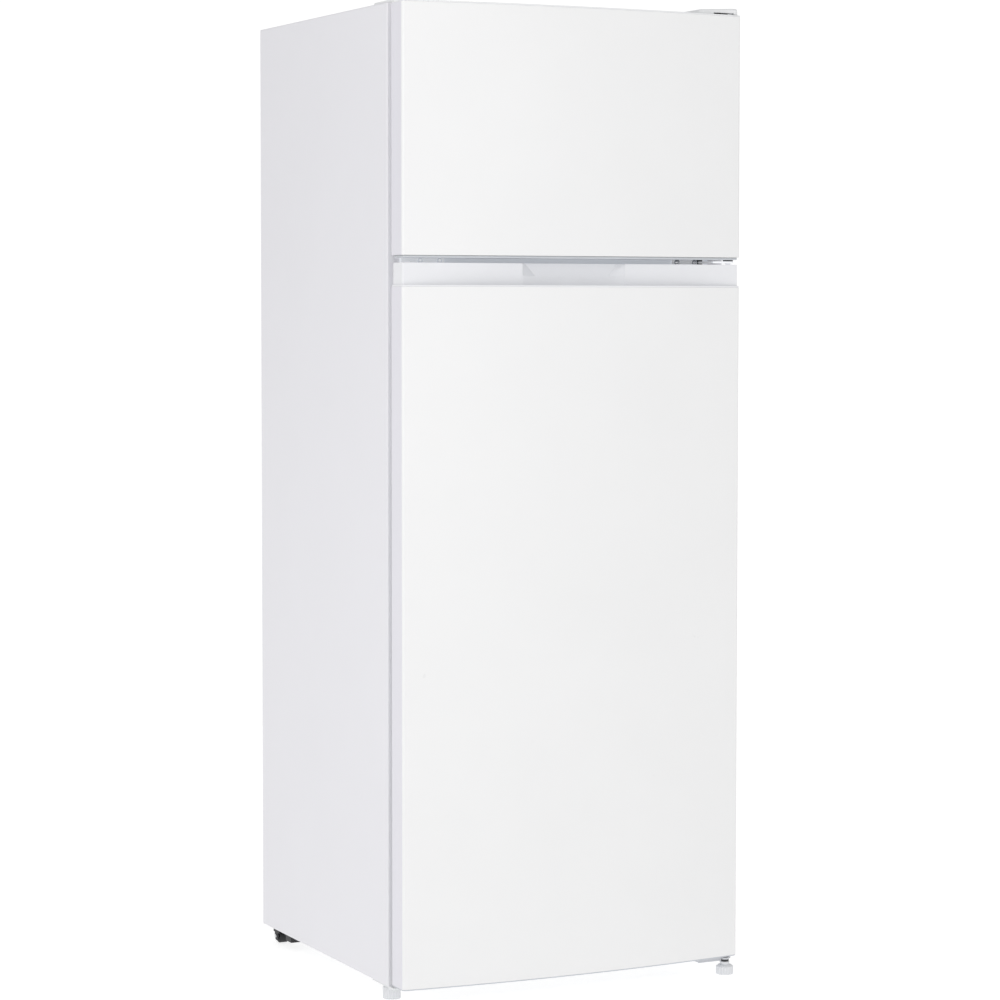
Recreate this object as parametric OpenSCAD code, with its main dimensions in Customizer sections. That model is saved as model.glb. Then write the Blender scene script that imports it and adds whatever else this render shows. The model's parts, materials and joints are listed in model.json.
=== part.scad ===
// Top freezer refrigerator with two doors hinged on the right.
// Origin: centre of the footprint, on the floor. Front faces -Y, +X to the right, +Z up.

/* [Overall] */
// Width of the cabinet and of both doors
body_w = 546; // [500:1:660]
// Depth of the cabinet behind the door seals
cabinet_depth = 488; // [440:1:600]
// Height of the cabinet's top above the floor
body_h = 1425.6; // [1250:0.1:1750]
// Gap between the floor and the cabinet's underside
floor_gap = 25.3; // [24:0.1:40]

/* [Doors] */
// Height of the freezer door's steel skin
freezer_skin_h = 353.1; // [290:0.1:430]
// Thickness of a door at its side edges
door_edge_t = 37; // [34:0.5:45]
// How far a door's front bows out between its edges
door_bow = 16; // [8:0.5:24]
// Radius of the front vertical edges of a door
edge_r = 5; // [2:0.5:8]
// Depth of the gap between doors and cabinet
seal_gap = 15; // [14:0.5:18]
// Height of the open slot between the two doors
door_slot = 6.8; // [6:0.1:12]
// Clearance under the fridge door's lower cap
door_foot_gap = 3.1; // [2.5:0.1:6]
// Thickness of the plastic end caps at the door skins' ends
cap_t = 3.6; // [2.5:0.1:5]
// Thickness of the steel door skins
skin_t = 0.8; // [0.6:0.1:1.2]

/* [Handle] */
// Height of the handle band above the fridge door's skin
band_h = 33.9; // [28:0.1:42]
// Height of the ledge between band and skin
ledge_h = 2.6; // [1.5:0.1:4]
// Half width of the finger recess at the band's face
grip_half_w = 84; // [60:1:110]
// Depth of the finger recess
grip_depth = 9.4; // [6:0.1:11]

/* [Cabinet walls] */
// Thickness of the outer steel sheet
wrap_t = 0.8; // [0.6:0.1:1.2]
// Thickness of the inner liners
liner_t = 1.5; // [1:0.1:2.5]
// Insulated wall at the sides, from outside to inside face
side_wall = 40; // [38:1:55]
// Insulated wall at the top
top_wall = 50; // [45:1:65]
// Insulated wall at the back
back_wall = 45; // [42:1:60]
// Height of the insulated floor above the cabinet's underside
floor_wall = 60; // [56:1:75]
// Distance between the two compartments
mullion_h = 52; // [48:1:62]
// Height of the machine compartment
machine_h = 200; // [195:1:230]
// Depth of the machine compartment
machine_depth = 160; // [155:1:180]
// Insulated wall over and in front of the machine compartment
step_wall = 40; // [36:1:55]

/* [Inside] */
// How far the crisper drawer pulls out to its stop
crisper_travel = 90; // [60:1:92]
// Thickness of the glass shelves
glass_t = 4; // [3:0.5:6]
// Depth of the door balconies
balcony_depth = 100; // [80:1:104]
// Height of a balcony's front wall
balcony_h = 70; // [50:1:90]

/* [Feet and hinges] */
// Radius of the hinge pins
pin_r = 4; // [3:0.5:5]
// Distance of the hinge axis in from the door's side
pin_inset = 13; // [12:0.5:16]
// Distance of the hinge axis in front of the cabinet
pin_forward = 39; // [36:0.5:42]
// Radius of the ribbed foot knobs
knob_r = 13; // [11:0.5:13]
// Height of the ribbed foot knobs
knob_h = 14; // [10:0.5:16]
// Radius of the feet's threaded stems
stem_r = 4; // [3:0.5:5]
// How far the feet screw out
foot_travel = 6; // [3:0.5:6]
// Radius of the rear rollers
roller_r = 11; // [8:0.5:11.5]

/* [Hidden] */
$fn = 64;

// Colours
white = "#f4f5f6";
panel_white = "#f7f7f8";
liner_white = "#eef1f3";
seal_grey = "#d5d8da";
foam_yellow = "#e9dcb0";
zinc = "#b9bcbf";
dark = "#2b2d30";
copper = "#b87351";
clear_glass = [0.75, 0.88, 0.88, 0.45];

// Clearances
fit = 0.05;        // running fit of a pin in its bore, on the radius
gap = 0.2;         // between fixed pieces that lie side by side
soft_gap = 0.4;    // between a seal and the cabinet's face

// Planes and lines of the cabinet
hw = body_w / 2;
depth = cabinet_depth + seal_gap + door_edge_t + door_bow;
front_y = -depth / 2;                             // foremost point of the bowed doors
cab_y0 = front_y + door_bow + door_edge_t + seal_gap;
cab_y1 = depth / 2;
door_y1 = cab_y0 - seal_gap;                      // rear face of the doors
door_y0 = door_y1 - door_edge_t;                  // front face of the doors at their edges
cab_z0 = floor_gap;
cab_z1 = body_h;
panel_t = 0.8;                                    // back panel and base plate sheet
flange_w = 25;                                    // front return of the outer sheet

// Heights of the doors, from the top down
top_clear = 0.6;                                  // the freezer door stops this far below the top
top_cap_t = 2.4;
foot_cap_t = cap_t - 1.6;
fz_cap_top = body_h - top_clear;
fz_skin_z1 = fz_cap_top - top_cap_t;
fz_skin_z0 = fz_skin_z1 - freezer_skin_h;
fz_cap_bot = fz_skin_z0 - cap_t;
band_z1 = fz_cap_bot - door_slot;                 // top of the handle band
band_z0 = band_z1 - band_h;                       // top edge of the fridge door's skin
fr_cap_bot = cab_z0 + door_foot_gap;
fr_skin_z0 = fr_cap_bot + foot_cap_t;
fr_skin_z1 = band_z0;
slot_mid = (band_z1 + fz_cap_bot) / 2;

// Compartments
in_hw = hw - side_wall;                           // half width inside the liners
in_y1 = cab_y1 - back_wall;
fz_in_z1 = cab_z1 - top_wall;
fz_in_z0 = slot_mid + mullion_h / 2;
fr_in_z1 = slot_mid - mullion_h / 2;
fr_in_z0 = cab_z0 + floor_wall;
machine_z1 = cab_z0 + machine_h;
machine_y0 = cab_y1 - machine_depth;
step_z = machine_z1 + step_wall;
step_y = machine_y0 - step_wall;
beam_hh = 20;                                     // half height of the mid beam's face
sill_h = 37;                                      // height of the base plate's front upstand

// Hinge line
pivot_x = hw - pin_inset;
pivot_y = cab_y0 - pin_forward;

// Bowed front of the doors
bow_r = (hw * hw + door_bow * door_bow) / (2 * door_bow);
bow_cy = front_y + bow_r;
corner_x = hw - edge_r;
corner_y = bow_cy - sqrt(pow(bow_r - edge_r, 2) - corner_x * corner_x);

// Ring ridge on the inner face of each door
ridge_hw = in_hw - 8;
ridge_w = 20;
ridge_h = 30;
seal_w = 16;
shelf_rib = 8;                                    // how far shelf ribs stand out of the liner

// Door shelves
balcony_hw = ridge_hw - ridge_w - 2;
balcony_y0 = door_y1 + gap;
tray_wall = 2.2;
bottle_z = step_z + 22;
balcony_zs = [for (share = [0.4, 0.69]) bottle_z + share * (fr_in_z1 - bottle_z)];
fz_balcony_zs = [fz_in_z0 + 30, fz_in_z0 + 154];
fz_balcony_depth = 84;

// Shelves
shelf_hw = in_hw - 3;
shelf_y0 = cab_y0 + balcony_depth + 25;
shelf_zs = [for (share = [0.41, 0.63]) fr_in_z0 + share * (fr_in_z1 - fr_in_z0)];
cover_z = step_z + gap;
cover_y0 = cab_y0 + balcony_depth + 12;
drawer_y0 = cab_y0 + balcony_depth + 20;
drawer_y1 = step_y - 8;
drawer_hw = ridge_hw - ridge_w - 3;
lug_l = 6;                                        // rear lugs that meet the liner's stops
rail_h = 6;                                       // floor rails under the crisper drawer
fz_shelf_z = fz_in_z0 + 140;

// Feet
foot_left = [-(hw - 20), cab_y0 + 32];
foot_right = [pivot_x, pivot_y];
collar_h = 5;                                     // plain collar over the right knob
plate_t = 3;                                      // hinge and bracket steel
nut_z0 = knob_h + collar_h + 0.3;                 // underside of the threaded collars
bush_r = stem_r + 1.5;                            // threaded bush under the fridge door
stem_top = nut_z0 + foot_travel + 2.5;            // the stem stays engaged when screwed out

// Rear supports
axle_r = 3;
axle_over = 5;                                    // axle end beyond the roller's face
roller_w = 15;
roller_y = cab_y1 - 34;
roller_x = hw - 19;
bracket_t = 1.5;

// Compressor
comp = [-70, machine_y0 + machine_depth / 2 + 2];
comp_r = 62;
tray_z1 = cab_z0 + 1.5;
comp_z0 = tray_z1 + 12;
comp_h = 138;

// Thermostat
stat_w = 170;
stat_h = 36;
stat_y0 = shelf_y0 + 6;
stat_d = 120;
dial_r = 17;
dial_x = 35;

module slab(lo, hi) { translate(lo) cube(hi - lo); }

module slab2(lo, hi) { translate(lo) square(hi - lo); }

// Prism between two four-point outlines given in the same order
module between(front, back) {
    polyhedron(concat(front, back), [
        [3, 2, 1, 0], [4, 5, 6, 7], [1, 5, 4, 0], [2, 6, 5, 1], [3, 7, 6, 2], [0, 4, 7, 3]
    ]);
}

// Plan outline of a door, t inside its outer surface
module door_plan(t) {
    sx = corner_x * (bow_r - t) / (bow_r - edge_r);
    sy = bow_cy - sqrt(pow(bow_r - t, 2) - sx * sx);
    y1 = door_y1 - t;
    intersection() {
        translate([0, bow_cy]) circle(bow_r - t, $fn = 720);
        slab2([-sx, front_y - 1], [sx, y1]);
    }
    for (s = [-1, 1]) {
        translate([s * corner_x, corner_y]) circle(edge_r - min(t, edge_r - 0.3));
        translate([s * (corner_x + hw - t) / 2, (corner_y + y1) / 2])
            square([hw - t - corner_x, y1 - corner_y], center = true);
    }
}

// Steel skin of a door: front and sides, with returns on the rear face
module door_skin(z0, z1) {
    difference() {
        translate([0, 0, z0]) linear_extrude(z1 - z0) door_plan(0);
        translate([0, 0, z0 - 1]) linear_extrude(z1 - z0 + 2) door_plan(skin_t);
        slab([-hw + 12, door_y1 - skin_t - 1, z0 - 1], [hw - 12, door_y1 + 1, z1 + 1]);
    }
}

// Upright hole on the hinge line
module pivot_hole(r, z0, z1) {
    translate([pivot_x, pivot_y, z0]) cylinder(r = r, h = z1 - z0);
}

// Rectangular ring in the door's plane
module ring(hx, z0, z1, w, y0, y1) {
    difference() {
        slab([-hx, y0, z0], [hx, y1, z1]);
        slab([-hx + w, y0 - 1, z0 + w], [hx - w, y1 + 1, z1 - w]);
    }
}

// Foam between a door's skin and liner, from z0 to z1, filling the ridge
module door_foam(z0, z1, rz0, rz1) {
    difference() {
        union() {
            difference() {
                translate([0, 0, z0]) linear_extrude(z1 - z0) door_plan(skin_t + 0.1);
                slab([-hw, door_y1 - liner_t - skin_t - 0.3, z0 - 1], [hw, door_y1 + 1, z1 + 1]);
            }
            ring(ridge_hw - liner_t - 0.1, rz0 + liner_t + 0.1, rz1 - liner_t - 0.1,
                ridge_w - 2 * liner_t - 0.2, door_y1 - liner_t - skin_t - 1,
                door_y1 + ridge_h - liner_t - 0.1);
        }
        slab([-hw, front_y, z1], [hw, door_y1 - liner_t - gap, z1 + 50]);
        pivot_hole(9, z0 - 1, z0 + 32);
        pivot_hole(9, z1 - 32, z1 + 1);
    }
}

// Inner plastic panel of a door with its hollow ridge
module door_liner(z0, z1, rz0, rz1) {
    plate_hw = hw - 12 - gap;
    difference() {
        union() {
            slab([-plate_hw, door_y1 - liner_t, z0], [plate_hw, door_y1, z1]);
            ring(ridge_hw, rz0, rz1, ridge_w, door_y1 - liner_t, door_y1 + ridge_h);
        }
        ring(ridge_hw - liner_t, rz0 + liner_t, rz1 - liner_t, ridge_w - 2 * liner_t,
            door_y1 - liner_t - 1, door_y1 + ridge_h - liner_t);
    }
}

// Seal: foot on the door, hollow bulb against the cabinet
module door_gasket(z0, z1) {
    hx = pivot_x - 1;
    face_y = cab_y0 - soft_gap;
    difference() {
        union() {
            ring(hx, z0, z1, seal_w, face_y - 8, face_y);
            ring(hx - 3, z0 + 3, z1 - 3, seal_w - 6, door_y1, face_y - 7);
        }
        ring(hx - 2, z0 + 2, z1 - 2, seal_w - 4, face_y - 5.5, face_y - 1.2);
    }
}

// End cap of a door: plate over the end, plug inside the skin
module door_cap(z0, z1, inset, plug0, plug1) {
    difference() {
        union() {
            translate([0, 0, z0]) linear_extrude(z1 - z0) door_plan(inset);
            difference() {
                translate([0, 0, plug0]) linear_extrude(plug1 - plug0) door_plan(skin_t + 0.1);
                translate([0, 0, plug0 - 1]) linear_extrude(plug1 - plug0 + 2)
                    door_plan(inset + 2.5);
                slab([-hw + 12, door_y1 - liner_t - gap, plug0 - 1], [hw - 12, door_y1 + 1, plug1 + 1]);
            }
            pivot_boss(min(z0, plug0), max(z1, plug1));
        }
        pivot_hole(pin_r + fit, min(z0, plug0) - 1, max(z1, plug1) + 1);
    }
}

module pivot_boss(z0, z1) {
    translate([pivot_x, pivot_y, z0]) cylinder(r = 7.5, h = z1 - z0);
}

// Open-topped door tray
module door_tray(z, tray_depth, tray_h) {
    y0 = balcony_y0;
    y1 = balcony_y0 + tray_depth;
    difference() {
        slab([-balcony_hw, y0, z], [balcony_hw, y1, z + tray_h]);
        slab([-balcony_hw + tray_wall, y0 + tray_wall, z + tray_wall],
            [balcony_hw - tray_wall, y1 - tray_wall, z + tray_h + 1]);
    }
}

// Round-ended flat plate with its long axis along X
module lozenge(x0, x1, y, r, z0, z1) {
    translate([0, 0, z0]) linear_extrude(z1 - z0) {
        slab2([x0 + r, y - r], [x1 - r, y + r]);
        for (x = [x0 + r, x1 - r]) translate([x, y]) circle(r);
    }
}

// ---------- Cabinet ----------

module outer_wrap() {
    color(white) difference() {
        slab([-hw, cab_y0, cab_z0], [hw, cab_y1, cab_z1]);
        slab([-hw + wrap_t, cab_y0 + wrap_t, cab_z0 - 1], [hw - wrap_t, cab_y1 + 1, cab_z1 - wrap_t]);
        slab([-hw + flange_w, cab_y0 - 1, cab_z0 - 1], [hw - flange_w, cab_y0 + wrap_t + 1,
            cab_z1 - flange_w]);
    }
}

module back_panel() {
    color(white) slab([-hw + wrap_t + gap, cab_y1 - panel_t, machine_z1 + gap],
        [hw - wrap_t - gap, cab_y1, cab_z1 - wrap_t - gap]);
}

// One bent sheet: front upstand, floor, machine compartment's front wall and ceiling
module base_plate() {
    x = hw - wrap_t - gap;
    y0 = cab_y0 + wrap_t + gap;
    color(zinc) difference() {
        union() {
            slab([-x, y0, cab_z0], [x, machine_y0, cab_z0 + panel_t]);
            slab([-x, machine_y0 - panel_t, cab_z0], [x, machine_y0, machine_z1]);
            slab([-x, machine_y0 - panel_t, machine_z1 - panel_t], [x, cab_y1 - gap, machine_z1]);
            slab([-hw + flange_w + gap, cab_y0, cab_z0], [hw - flange_w - gap,
                cab_y0 + panel_t + 1, cab_z0 + sill_h]);
        }
        foot_pocket();
        drain_path(5.5);
    }
}

module cabinet_foam() {
    x = hw - wrap_t - 0.1;
    y0 = cab_y0 + wrap_t + 2.2;
    y1 = cab_y1 - panel_t - 0.1;
    lt = liner_t + 0.1;
    color(foam_yellow) difference() {
        slab([-x, y0, cab_z0 + panel_t + 0.1], [x, y1, cab_z1 - wrap_t - 0.1]);
        slab([-hw, machine_y0 - panel_t - 0.1, 0], [hw, cab_y1 + 1, machine_z1 + 0.1]);
        slab([-in_hw - lt, y0 - 1, fz_in_z0 - lt], [in_hw + lt, in_y1 + lt, fz_in_z1 + lt]);
        fridge_space(lt, y0 - 1);
        evaporator_pocket();
        condenser_channels();
        drain_path(5.5);
        foot_pocket();
    }
}

// Room over the left foot's bracket for the end of its stem
module foot_pocket() {
    translate([foot_left[0], foot_left[1], cab_z0 - 1]) cylinder(r = stem_r + 2, h = 8);
}

// The fridge compartment, t larger than the inner faces of its liner
module fridge_space(t, y0) {
    difference() {
        slab([-in_hw - t, y0, fr_in_z0 - t], [in_hw + t, in_y1 + t, fr_in_z1 + t]);
        slab([-hw, step_y + t, 0], [hw, cab_y1, step_z - t]);
    }
}

module evaporator_pocket() {
    slab([-in_hw + 30, in_y1 + liner_t, fz_in_z0 + 25], [in_hw - 30, in_y1 + liner_t + 9,
        fz_in_z1 - 25]);
}

// Centre lines of the condenser's uprights, front to back
condenser_r = 2.4;
condenser_ys = [for (i = [0:5]) cab_y0 + 50 + i * 60];
condenser_z0 = cab_z0 + machine_h + 60;
condenser_z1 = cab_z1 - 60;
condenser_x = hw - wrap_t - 0.3 - condenser_r;

module condenser_channels() {
    for (s = [-1, 1], y = condenser_ys)
        slab([s * condenser_x - 4, y - 4, condenser_z0 - 34], [s * condenser_x + 4, y + 4,
            condenser_z1 + 34]);
    for (s = [-1, 1], i = [0:4]) {
        z = i % 2 == 0 ? condenser_z1 : condenser_z0;
        slab([s * condenser_x - 4, condenser_ys[i] - 4, z - 34], [s * condenser_x + 4,
            condenser_ys[i + 1] + 4, z + 34]);
    }
}

// Skin condenser: one serpentine tube inside each side wall
module condenser_tube() {
    color(copper) for (s = [-1, 1]) translate([s * condenser_x, 0, 0]) {
        for (y = condenser_ys) translate([0, y, condenser_z0])
            cylinder(r = condenser_r, h = condenser_z1 - condenser_z0);
        for (i = [0:4]) {
            up = i % 2 == 0;
            bend = (condenser_ys[i + 1] - condenser_ys[i]) / 2;
            translate([0, condenser_ys[i] + bend, up ? condenser_z1 : condenser_z0])
                rotate([up ? 90 : -90, 0, 90]) rotate_extrude(angle = 180)
                    translate([bend, 0]) circle(condenser_r);
        }
    }
}

// Roll-bond plate with raised channels
module evaporator() {
    y = in_y1 + liner_t + gap;
    x = in_hw - 34;
    z0 = fz_in_z0 + 30;
    z1 = fz_in_z1 - 30;
    color("#c9ced2") {
        slab([-x, y, z0], [x, y + 1.6, z1]);
        for (i = [0:6]) {
            z = z0 + 20 + i * (z1 - z0 - 40) / 6;
            translate([-x + 15, y + 3, z]) rotate([0, 90, 0]) cylinder(r = 3, h = 2 * x - 30);
        }
    }
}

// Inner box of the freezer with its front flange
module freezer_liner() {
    t = liner_t;
    color(liner_white) {
        difference() {
            union() {
                slab([-in_hw - t, cab_y0, fz_in_z0 - t], [in_hw + t, in_y1 + t, fz_in_z1 + t]);
                slab([-hw + flange_w + gap, cab_y0, slot_mid + beam_hh + gap],
                    [hw - flange_w - gap, cab_y0 + t, cab_z1 - flange_w - gap]);
            }
            slab([-in_hw, cab_y0 - 1, fz_in_z0], [in_hw, in_y1, fz_in_z1]);
        }
        side_ribs(fz_shelf_z - 8, cab_y0 + fz_balcony_depth + 30, in_y1 - 20);
    }
}

// Pair of ledges on the side walls that carry a shelf
module side_ribs(z, y0, y1) {
    for (s = [-1, 1])
        slab([s < 0 ? -in_hw - 0.5 : in_hw - shelf_rib, y0, z],
            [s < 0 ? -in_hw + shelf_rib : in_hw + 0.5, y1, z + 6]);
}

// Blocks under the cover's ribs that stop the drawer's rear lugs at full travel
module crisper_stops() {
    y = drawer_y1 - lug_l - crisper_travel - gap;
    for (s = [-1, 1])
        slab([s < 0 ? -in_hw - 0.5 : drawer_hw + gap + 1, y - 8, cover_z - 18],
            [s < 0 ? -drawer_hw - gap - 1 : in_hw + 0.5, y, cover_z - 6]);
}

module fridge_liner() {
    color(liner_white) {
        difference() {
            union() {
                fridge_space(liner_t, cab_y0);
                slab([-hw + flange_w + gap, cab_y0, cab_z0 + sill_h + gap],
                    [hw - flange_w - gap, cab_y0 + liner_t, slot_mid - beam_hh - gap]);
            }
            fridge_space(0, cab_y0 - 1);
            drain_path(5.5);
        }
        for (z = shelf_zs) side_ribs(z - 6.2, shelf_y0, in_y1 - 20);
        side_ribs(cover_z - 6.2, cover_y0, step_y + 1);
        crisper_stops();
        for (s = [-1, 1]) slab([s * 155 - 6, drawer_y0 + 4, fr_in_z0 - 0.5],
            [s * 155 + 6, step_y + 0.5, fr_in_z0 + rail_h - gap]);
    }
}

// Cross rail between the compartments: channel open to the back
module mid_beam() {
    color("#cdd2d8") difference() {
        slab([-hw + flange_w + gap, cab_y0, slot_mid - beam_hh], [hw - flange_w - gap,
            cab_y0 + 3, slot_mid + beam_hh]);
        slab([-hw + flange_w + 4, cab_y0 + 1, slot_mid - beam_hh + 1], [hw - flange_w - 4,
            cab_y0 + 4, slot_mid + beam_hh - 1]);
    }
}

// ---------- Machine compartment ----------

module compressor_tray() {
    x = hw - wrap_t - gap;
    color(zinc) difference() {
        slab([-x, machine_y0 + gap, cab_z0], [x, cab_y1 - 2, cab_z0 + 14]);
        slab([-x + 1.5, machine_y0 + gap + 1.5, tray_z1], [x - 1.5, cab_y1 - 3.5, cab_z0 + 15]);
        for (p = grommet_points()) translate([p[0], p[1], cab_z0 - 1]) cylinder(r = 4, h = 4);
    }
}

function grommet_points() = [for (sx = [-1, 1], sy = [-1, 1]) [comp[0] + sx * 75, comp[1] + sy * 50]];

module compressor_grommets() {
    color(dark) for (p = grommet_points()) translate([p[0], p[1], tray_z1]) difference() {
        cylinder(r = 9, h = comp_z0 - tray_z1);
        translate([0, 0, -1]) cylinder(r = 4, h = comp_z0);
    }
}

// Sealed steel pot: lower shell, seam flange, domed upper shell, four feet, three stubs
module compressor() {
    seam = 70;
    color(dark) difference() {
        union() {
            translate([comp[0], comp[1], comp_z0]) rotate_extrude() polygon(concat(
                [[0, 3], [comp_r - 14, 3], [comp_r - 4, 9], [comp_r - 2, 18], [comp_r - 2, seam - 6],
                [comp_r + 2, seam - 6], [comp_r + 2, seam], [comp_r - 1, seam]],
                [for (a = [0:9:90]) [(comp_r - 1) * cos(a), seam + (comp_h - seam) * sin(a)]]
            ));
            for (s = [-1, 1]) translate([comp[0], comp[1] + s * 50, comp_z0])
                lozenge(-86, 86, 0, 10, 0, 3.5);
        }
        for (p = grommet_points()) translate([p[0], p[1], comp_z0 - 1]) cylinder(r = 4, h = 6);
    }
}

module relay_box() {
    x = comp[0] + comp_r + 3;
    color(dark) slab([x, comp[1] - 24, comp_z0 + 20], [x + 34, comp[1] + 24, comp_z0 + 80]);
}

// Evaporating dish clipped over the compressor
module drip_tray() {
    z = comp_z0 + comp_h + 0.1;
    h = min(30, machine_z1 - panel_t - 6 - z);
    color(liner_white) difference() {
        slab([comp[0] - 80, comp[1] - 60, z], [comp[0] + 80, comp[1] + 60, z + h]);
        slab([comp[0] - 78, comp[1] - 58, z + 2], [comp[0] + 78, comp[1] + 58, z + h + 1]);
    }
}

pipe_r = 3;
drier = [120, machine_y0 + 50, cab_z0 + 60];

module filter_drier() {
    color(copper) translate(drier) {
        cylinder(r = 9, h = 70);
        translate([0, 0, 70]) cylinder(r1 = 9, r2 = 3.4, h = 12);
        translate([0, 0, -12]) cylinder(r1 = 3.4, r2 = 9, h = 12);
    }
}

// Round rod through a list of points, with round elbows
module pipe(points, r) {
    for (i = [0:len(points) - 2]) {
        v = points[i + 1] - points[i];
        length = norm(v);
        translate(points[i]) rotate([0, acos(v[2] / length), atan2(v[1], v[0])])
            cylinder(r = r, h = length);
    }
    for (i = [1:1:len(points) - 2]) translate(points[i]) sphere(r);
}

module copper_pipes() {
    shell_r = comp_r - 2 + 0.1;
    left_x = comp[0] - comp_r - 40;
    wall_y = machine_y0 + 10;
    low_z = comp_z0 + 30;
    high_z = comp_z0 + 40;
    color(copper) {
        // discharge: compressor to the drier's lower end
        pipe([[comp[0], comp[1] - shell_r, low_z], [comp[0], wall_y, low_z], [drier[0], wall_y, low_z],
            [drier[0], drier[1], low_z], [drier[0], drier[1], drier[2] - 12]], pipe_r);
        // suction: down from the ceiling to the compressor
        pipe([[comp[0] - shell_r, comp[1], high_z], [left_x, comp[1], high_z], [left_x, wall_y, high_z],
            [left_x, wall_y, machine_z1 - panel_t - gap]], pipe_r);
        // capillary: up from the drier
        pipe([[drier[0], drier[1], drier[2] + 82], [drier[0], drier[1], machine_z1 - panel_t - gap]],
            pipe_r);
    }
}

// Passage from the back of the fridge compartment down to the dish
drain_x = comp[0] - 40;
drain_y = step_y + 60;
module drain_path(r) {
    translate([drain_x, drain_y + 40, machine_z1 - 10]) cylinder(r = r, h = step_z - machine_z1 + 30);
}

module drain_tube() {
    z0 = machine_z1 - 10;
    color(white) translate([drain_x, drain_y + 40, z0]) difference() {
        cylinder(r = 5.3, h = step_z - z0 - 1);
        translate([0, 0, -1]) cylinder(r = 4, h = step_z - z0 + 2);
    }
}

// Bush where the mains lead would leave, clamped to the tray's rear flange
module cord_gland() {
    gx = hw - 90;
    color(dark) translate([gx, cab_y1 - 20, tray_z1]) difference() {
        union() {
            slab([-12, -6, 0], [12, 6, 26]);
            translate([0, -8, 15]) rotate([-90, 0, 0]) cylinder(r = 8, h = 22);
        }
        translate([0, -9, 15]) rotate([-90, 0, 0]) cylinder(r = 3.6, h = 24);
    }
}

// ---------- Rear supports and feet ----------

module roller_brackets() {
    color(dark) for (s = [-1, 1]) translate([s * roller_x, 0, 0]) {
        slab([-roller_w / 2 - 3, roller_y - 62, cab_z0 - bracket_t], [roller_w / 2 + 3, roller_y + 14,
            cab_z0]);
        for (c = [-1, 1]) difference() {
            x = c * (roller_w / 2 + 2.25);
            translate([x - 0.75, 0, 0]) union() {
                slab([0, roller_y - 12, cab_z0 - 9], [bracket_t, roller_y + 12, cab_z0]);
                translate([0, roller_y, roller_r]) rotate([0, 90, 0]) cylinder(r = 7, h = bracket_t);
                slab([0, roller_y - 7, roller_r], [bracket_t, roller_y + 7, cab_z0]);
            }
            translate([x - 3, roller_y, roller_r]) rotate([0, 90, 0]) cylinder(r = axle_r, h = 6);
        }
        // forward skid that carries the load when the cabinet is tipped
        slab([-roller_w / 2 - 3, roller_y - 62, cab_z0 - 14], [roller_w / 2 + 3, roller_y - 40, cab_z0]);
    }
}

module roller_axles() {
    color(zinc) for (s = [-1, 1])
        translate([s * roller_x - roller_w / 2 - axle_over, roller_y, roller_r]) rotate([0, 90, 0])
            cylinder(r = axle_r, h = roller_w + 2 * axle_over);
}

module roller(s) {
    color(dark) translate([s * roller_x - roller_w / 2, roller_y, roller_r]) rotate([0, 90, 0])
        difference() {
            rotate_extrude() polygon([[0, 0], [roller_r - 1.5, 0], [roller_r, 1.5],
                [roller_r, roller_w - 1.5], [roller_r - 1.5, roller_w], [0, roller_w]]);
            translate([0, 0, -1]) cylinder(r = axle_r + fit, h = roller_w + 2);
        }
}

module roller_left() { roller(-1); }

module roller_right() { roller(1); }

// Angle under the cabinet's front left corner with a bored boss for the foot's stem
module foot_bracket_left() {
    color(white) difference() {
        union() {
            slab([-hw + 2, cab_y0 - seal_gap + 1, cab_z0 - plate_t], [-hw + 62, cab_y0 + 60, cab_z0]);
            translate([foot_left[0], foot_left[1], nut_z0]) cylinder(r = stem_r + 4, h = cab_z0 - nut_z0);
        }
        foot_bore(foot_left, stem_r + fit);
    }
}

module foot_bore(p, r) {
    translate([p[0], p[1], 0]) cylinder(r = r, h = cab_z0 + 40);
}

module foot_stem(p) {
    color(zinc) translate([p[0], p[1], knob_h - 4]) cylinder(r = stem_r, h = stem_top - knob_h + 4);
}

// Ribbed knob of height h, with a plain collar above it if there is room; it turns on the stem
module foot_knob(p, h) {
    ribs = 16;
    color(white) translate([p[0], p[1], 0]) difference() {
        union() {
            linear_extrude(h - 2) {
                circle(knob_r - 1.2);
                for (i = [0:ribs - 1]) rotate(i * 360 / ribs) translate([knob_r - 1.6, 0]) circle(1.6);
            }
            translate([0, 0, h - 2]) cylinder(r1 = knob_r - 1.2, r2 = knob_r - 3, h = 2);
            cylinder(r = stem_r + 3.2, h = knob_h + collar_h);
        }
        translate([0, 0, knob_h - 4]) cylinder(r = stem_r + fit, h = collar_h + 10);
    }
}

module foot_left_stem() { foot_stem(foot_left); }

module foot_left_knob() { foot_knob(foot_left, knob_h + collar_h); }

module foot_right_stem() { foot_stem(foot_right); }

module foot_right_knob() { foot_knob(foot_right, knob_h); }

// ---------- Hinges ----------

// Plate under the cabinet reaching forward to the hinge line, with an upright front flange
module bottom_hinge() {
    x0 = pivot_x - 49;
    x1 = pivot_x - bush_r - 1.5;
    z0 = cab_z0 - plate_t;
    color("#d9dadb") difference() {
        union() {
            slab([x0, pivot_y, z0], [hw - 3, cab_y0 + 60, cab_z0]);
            translate([pivot_x, pivot_y, z0]) cylinder(r = bush_r + 1.2, h = plate_t);
            slab([x0 + 3.5, pivot_y - 1.5, z0 - 2], [x1, pivot_y + 1, fr_cap_bot - 0.5]);
            translate([x0 + 3.5, pivot_y + 1, cab_z0 - 0.8]) rotate([90, 0, 0]) cylinder(r = 3.5, h = 2.5);
        }
        foot_bore(foot_right, bush_r);
    }
}

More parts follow.
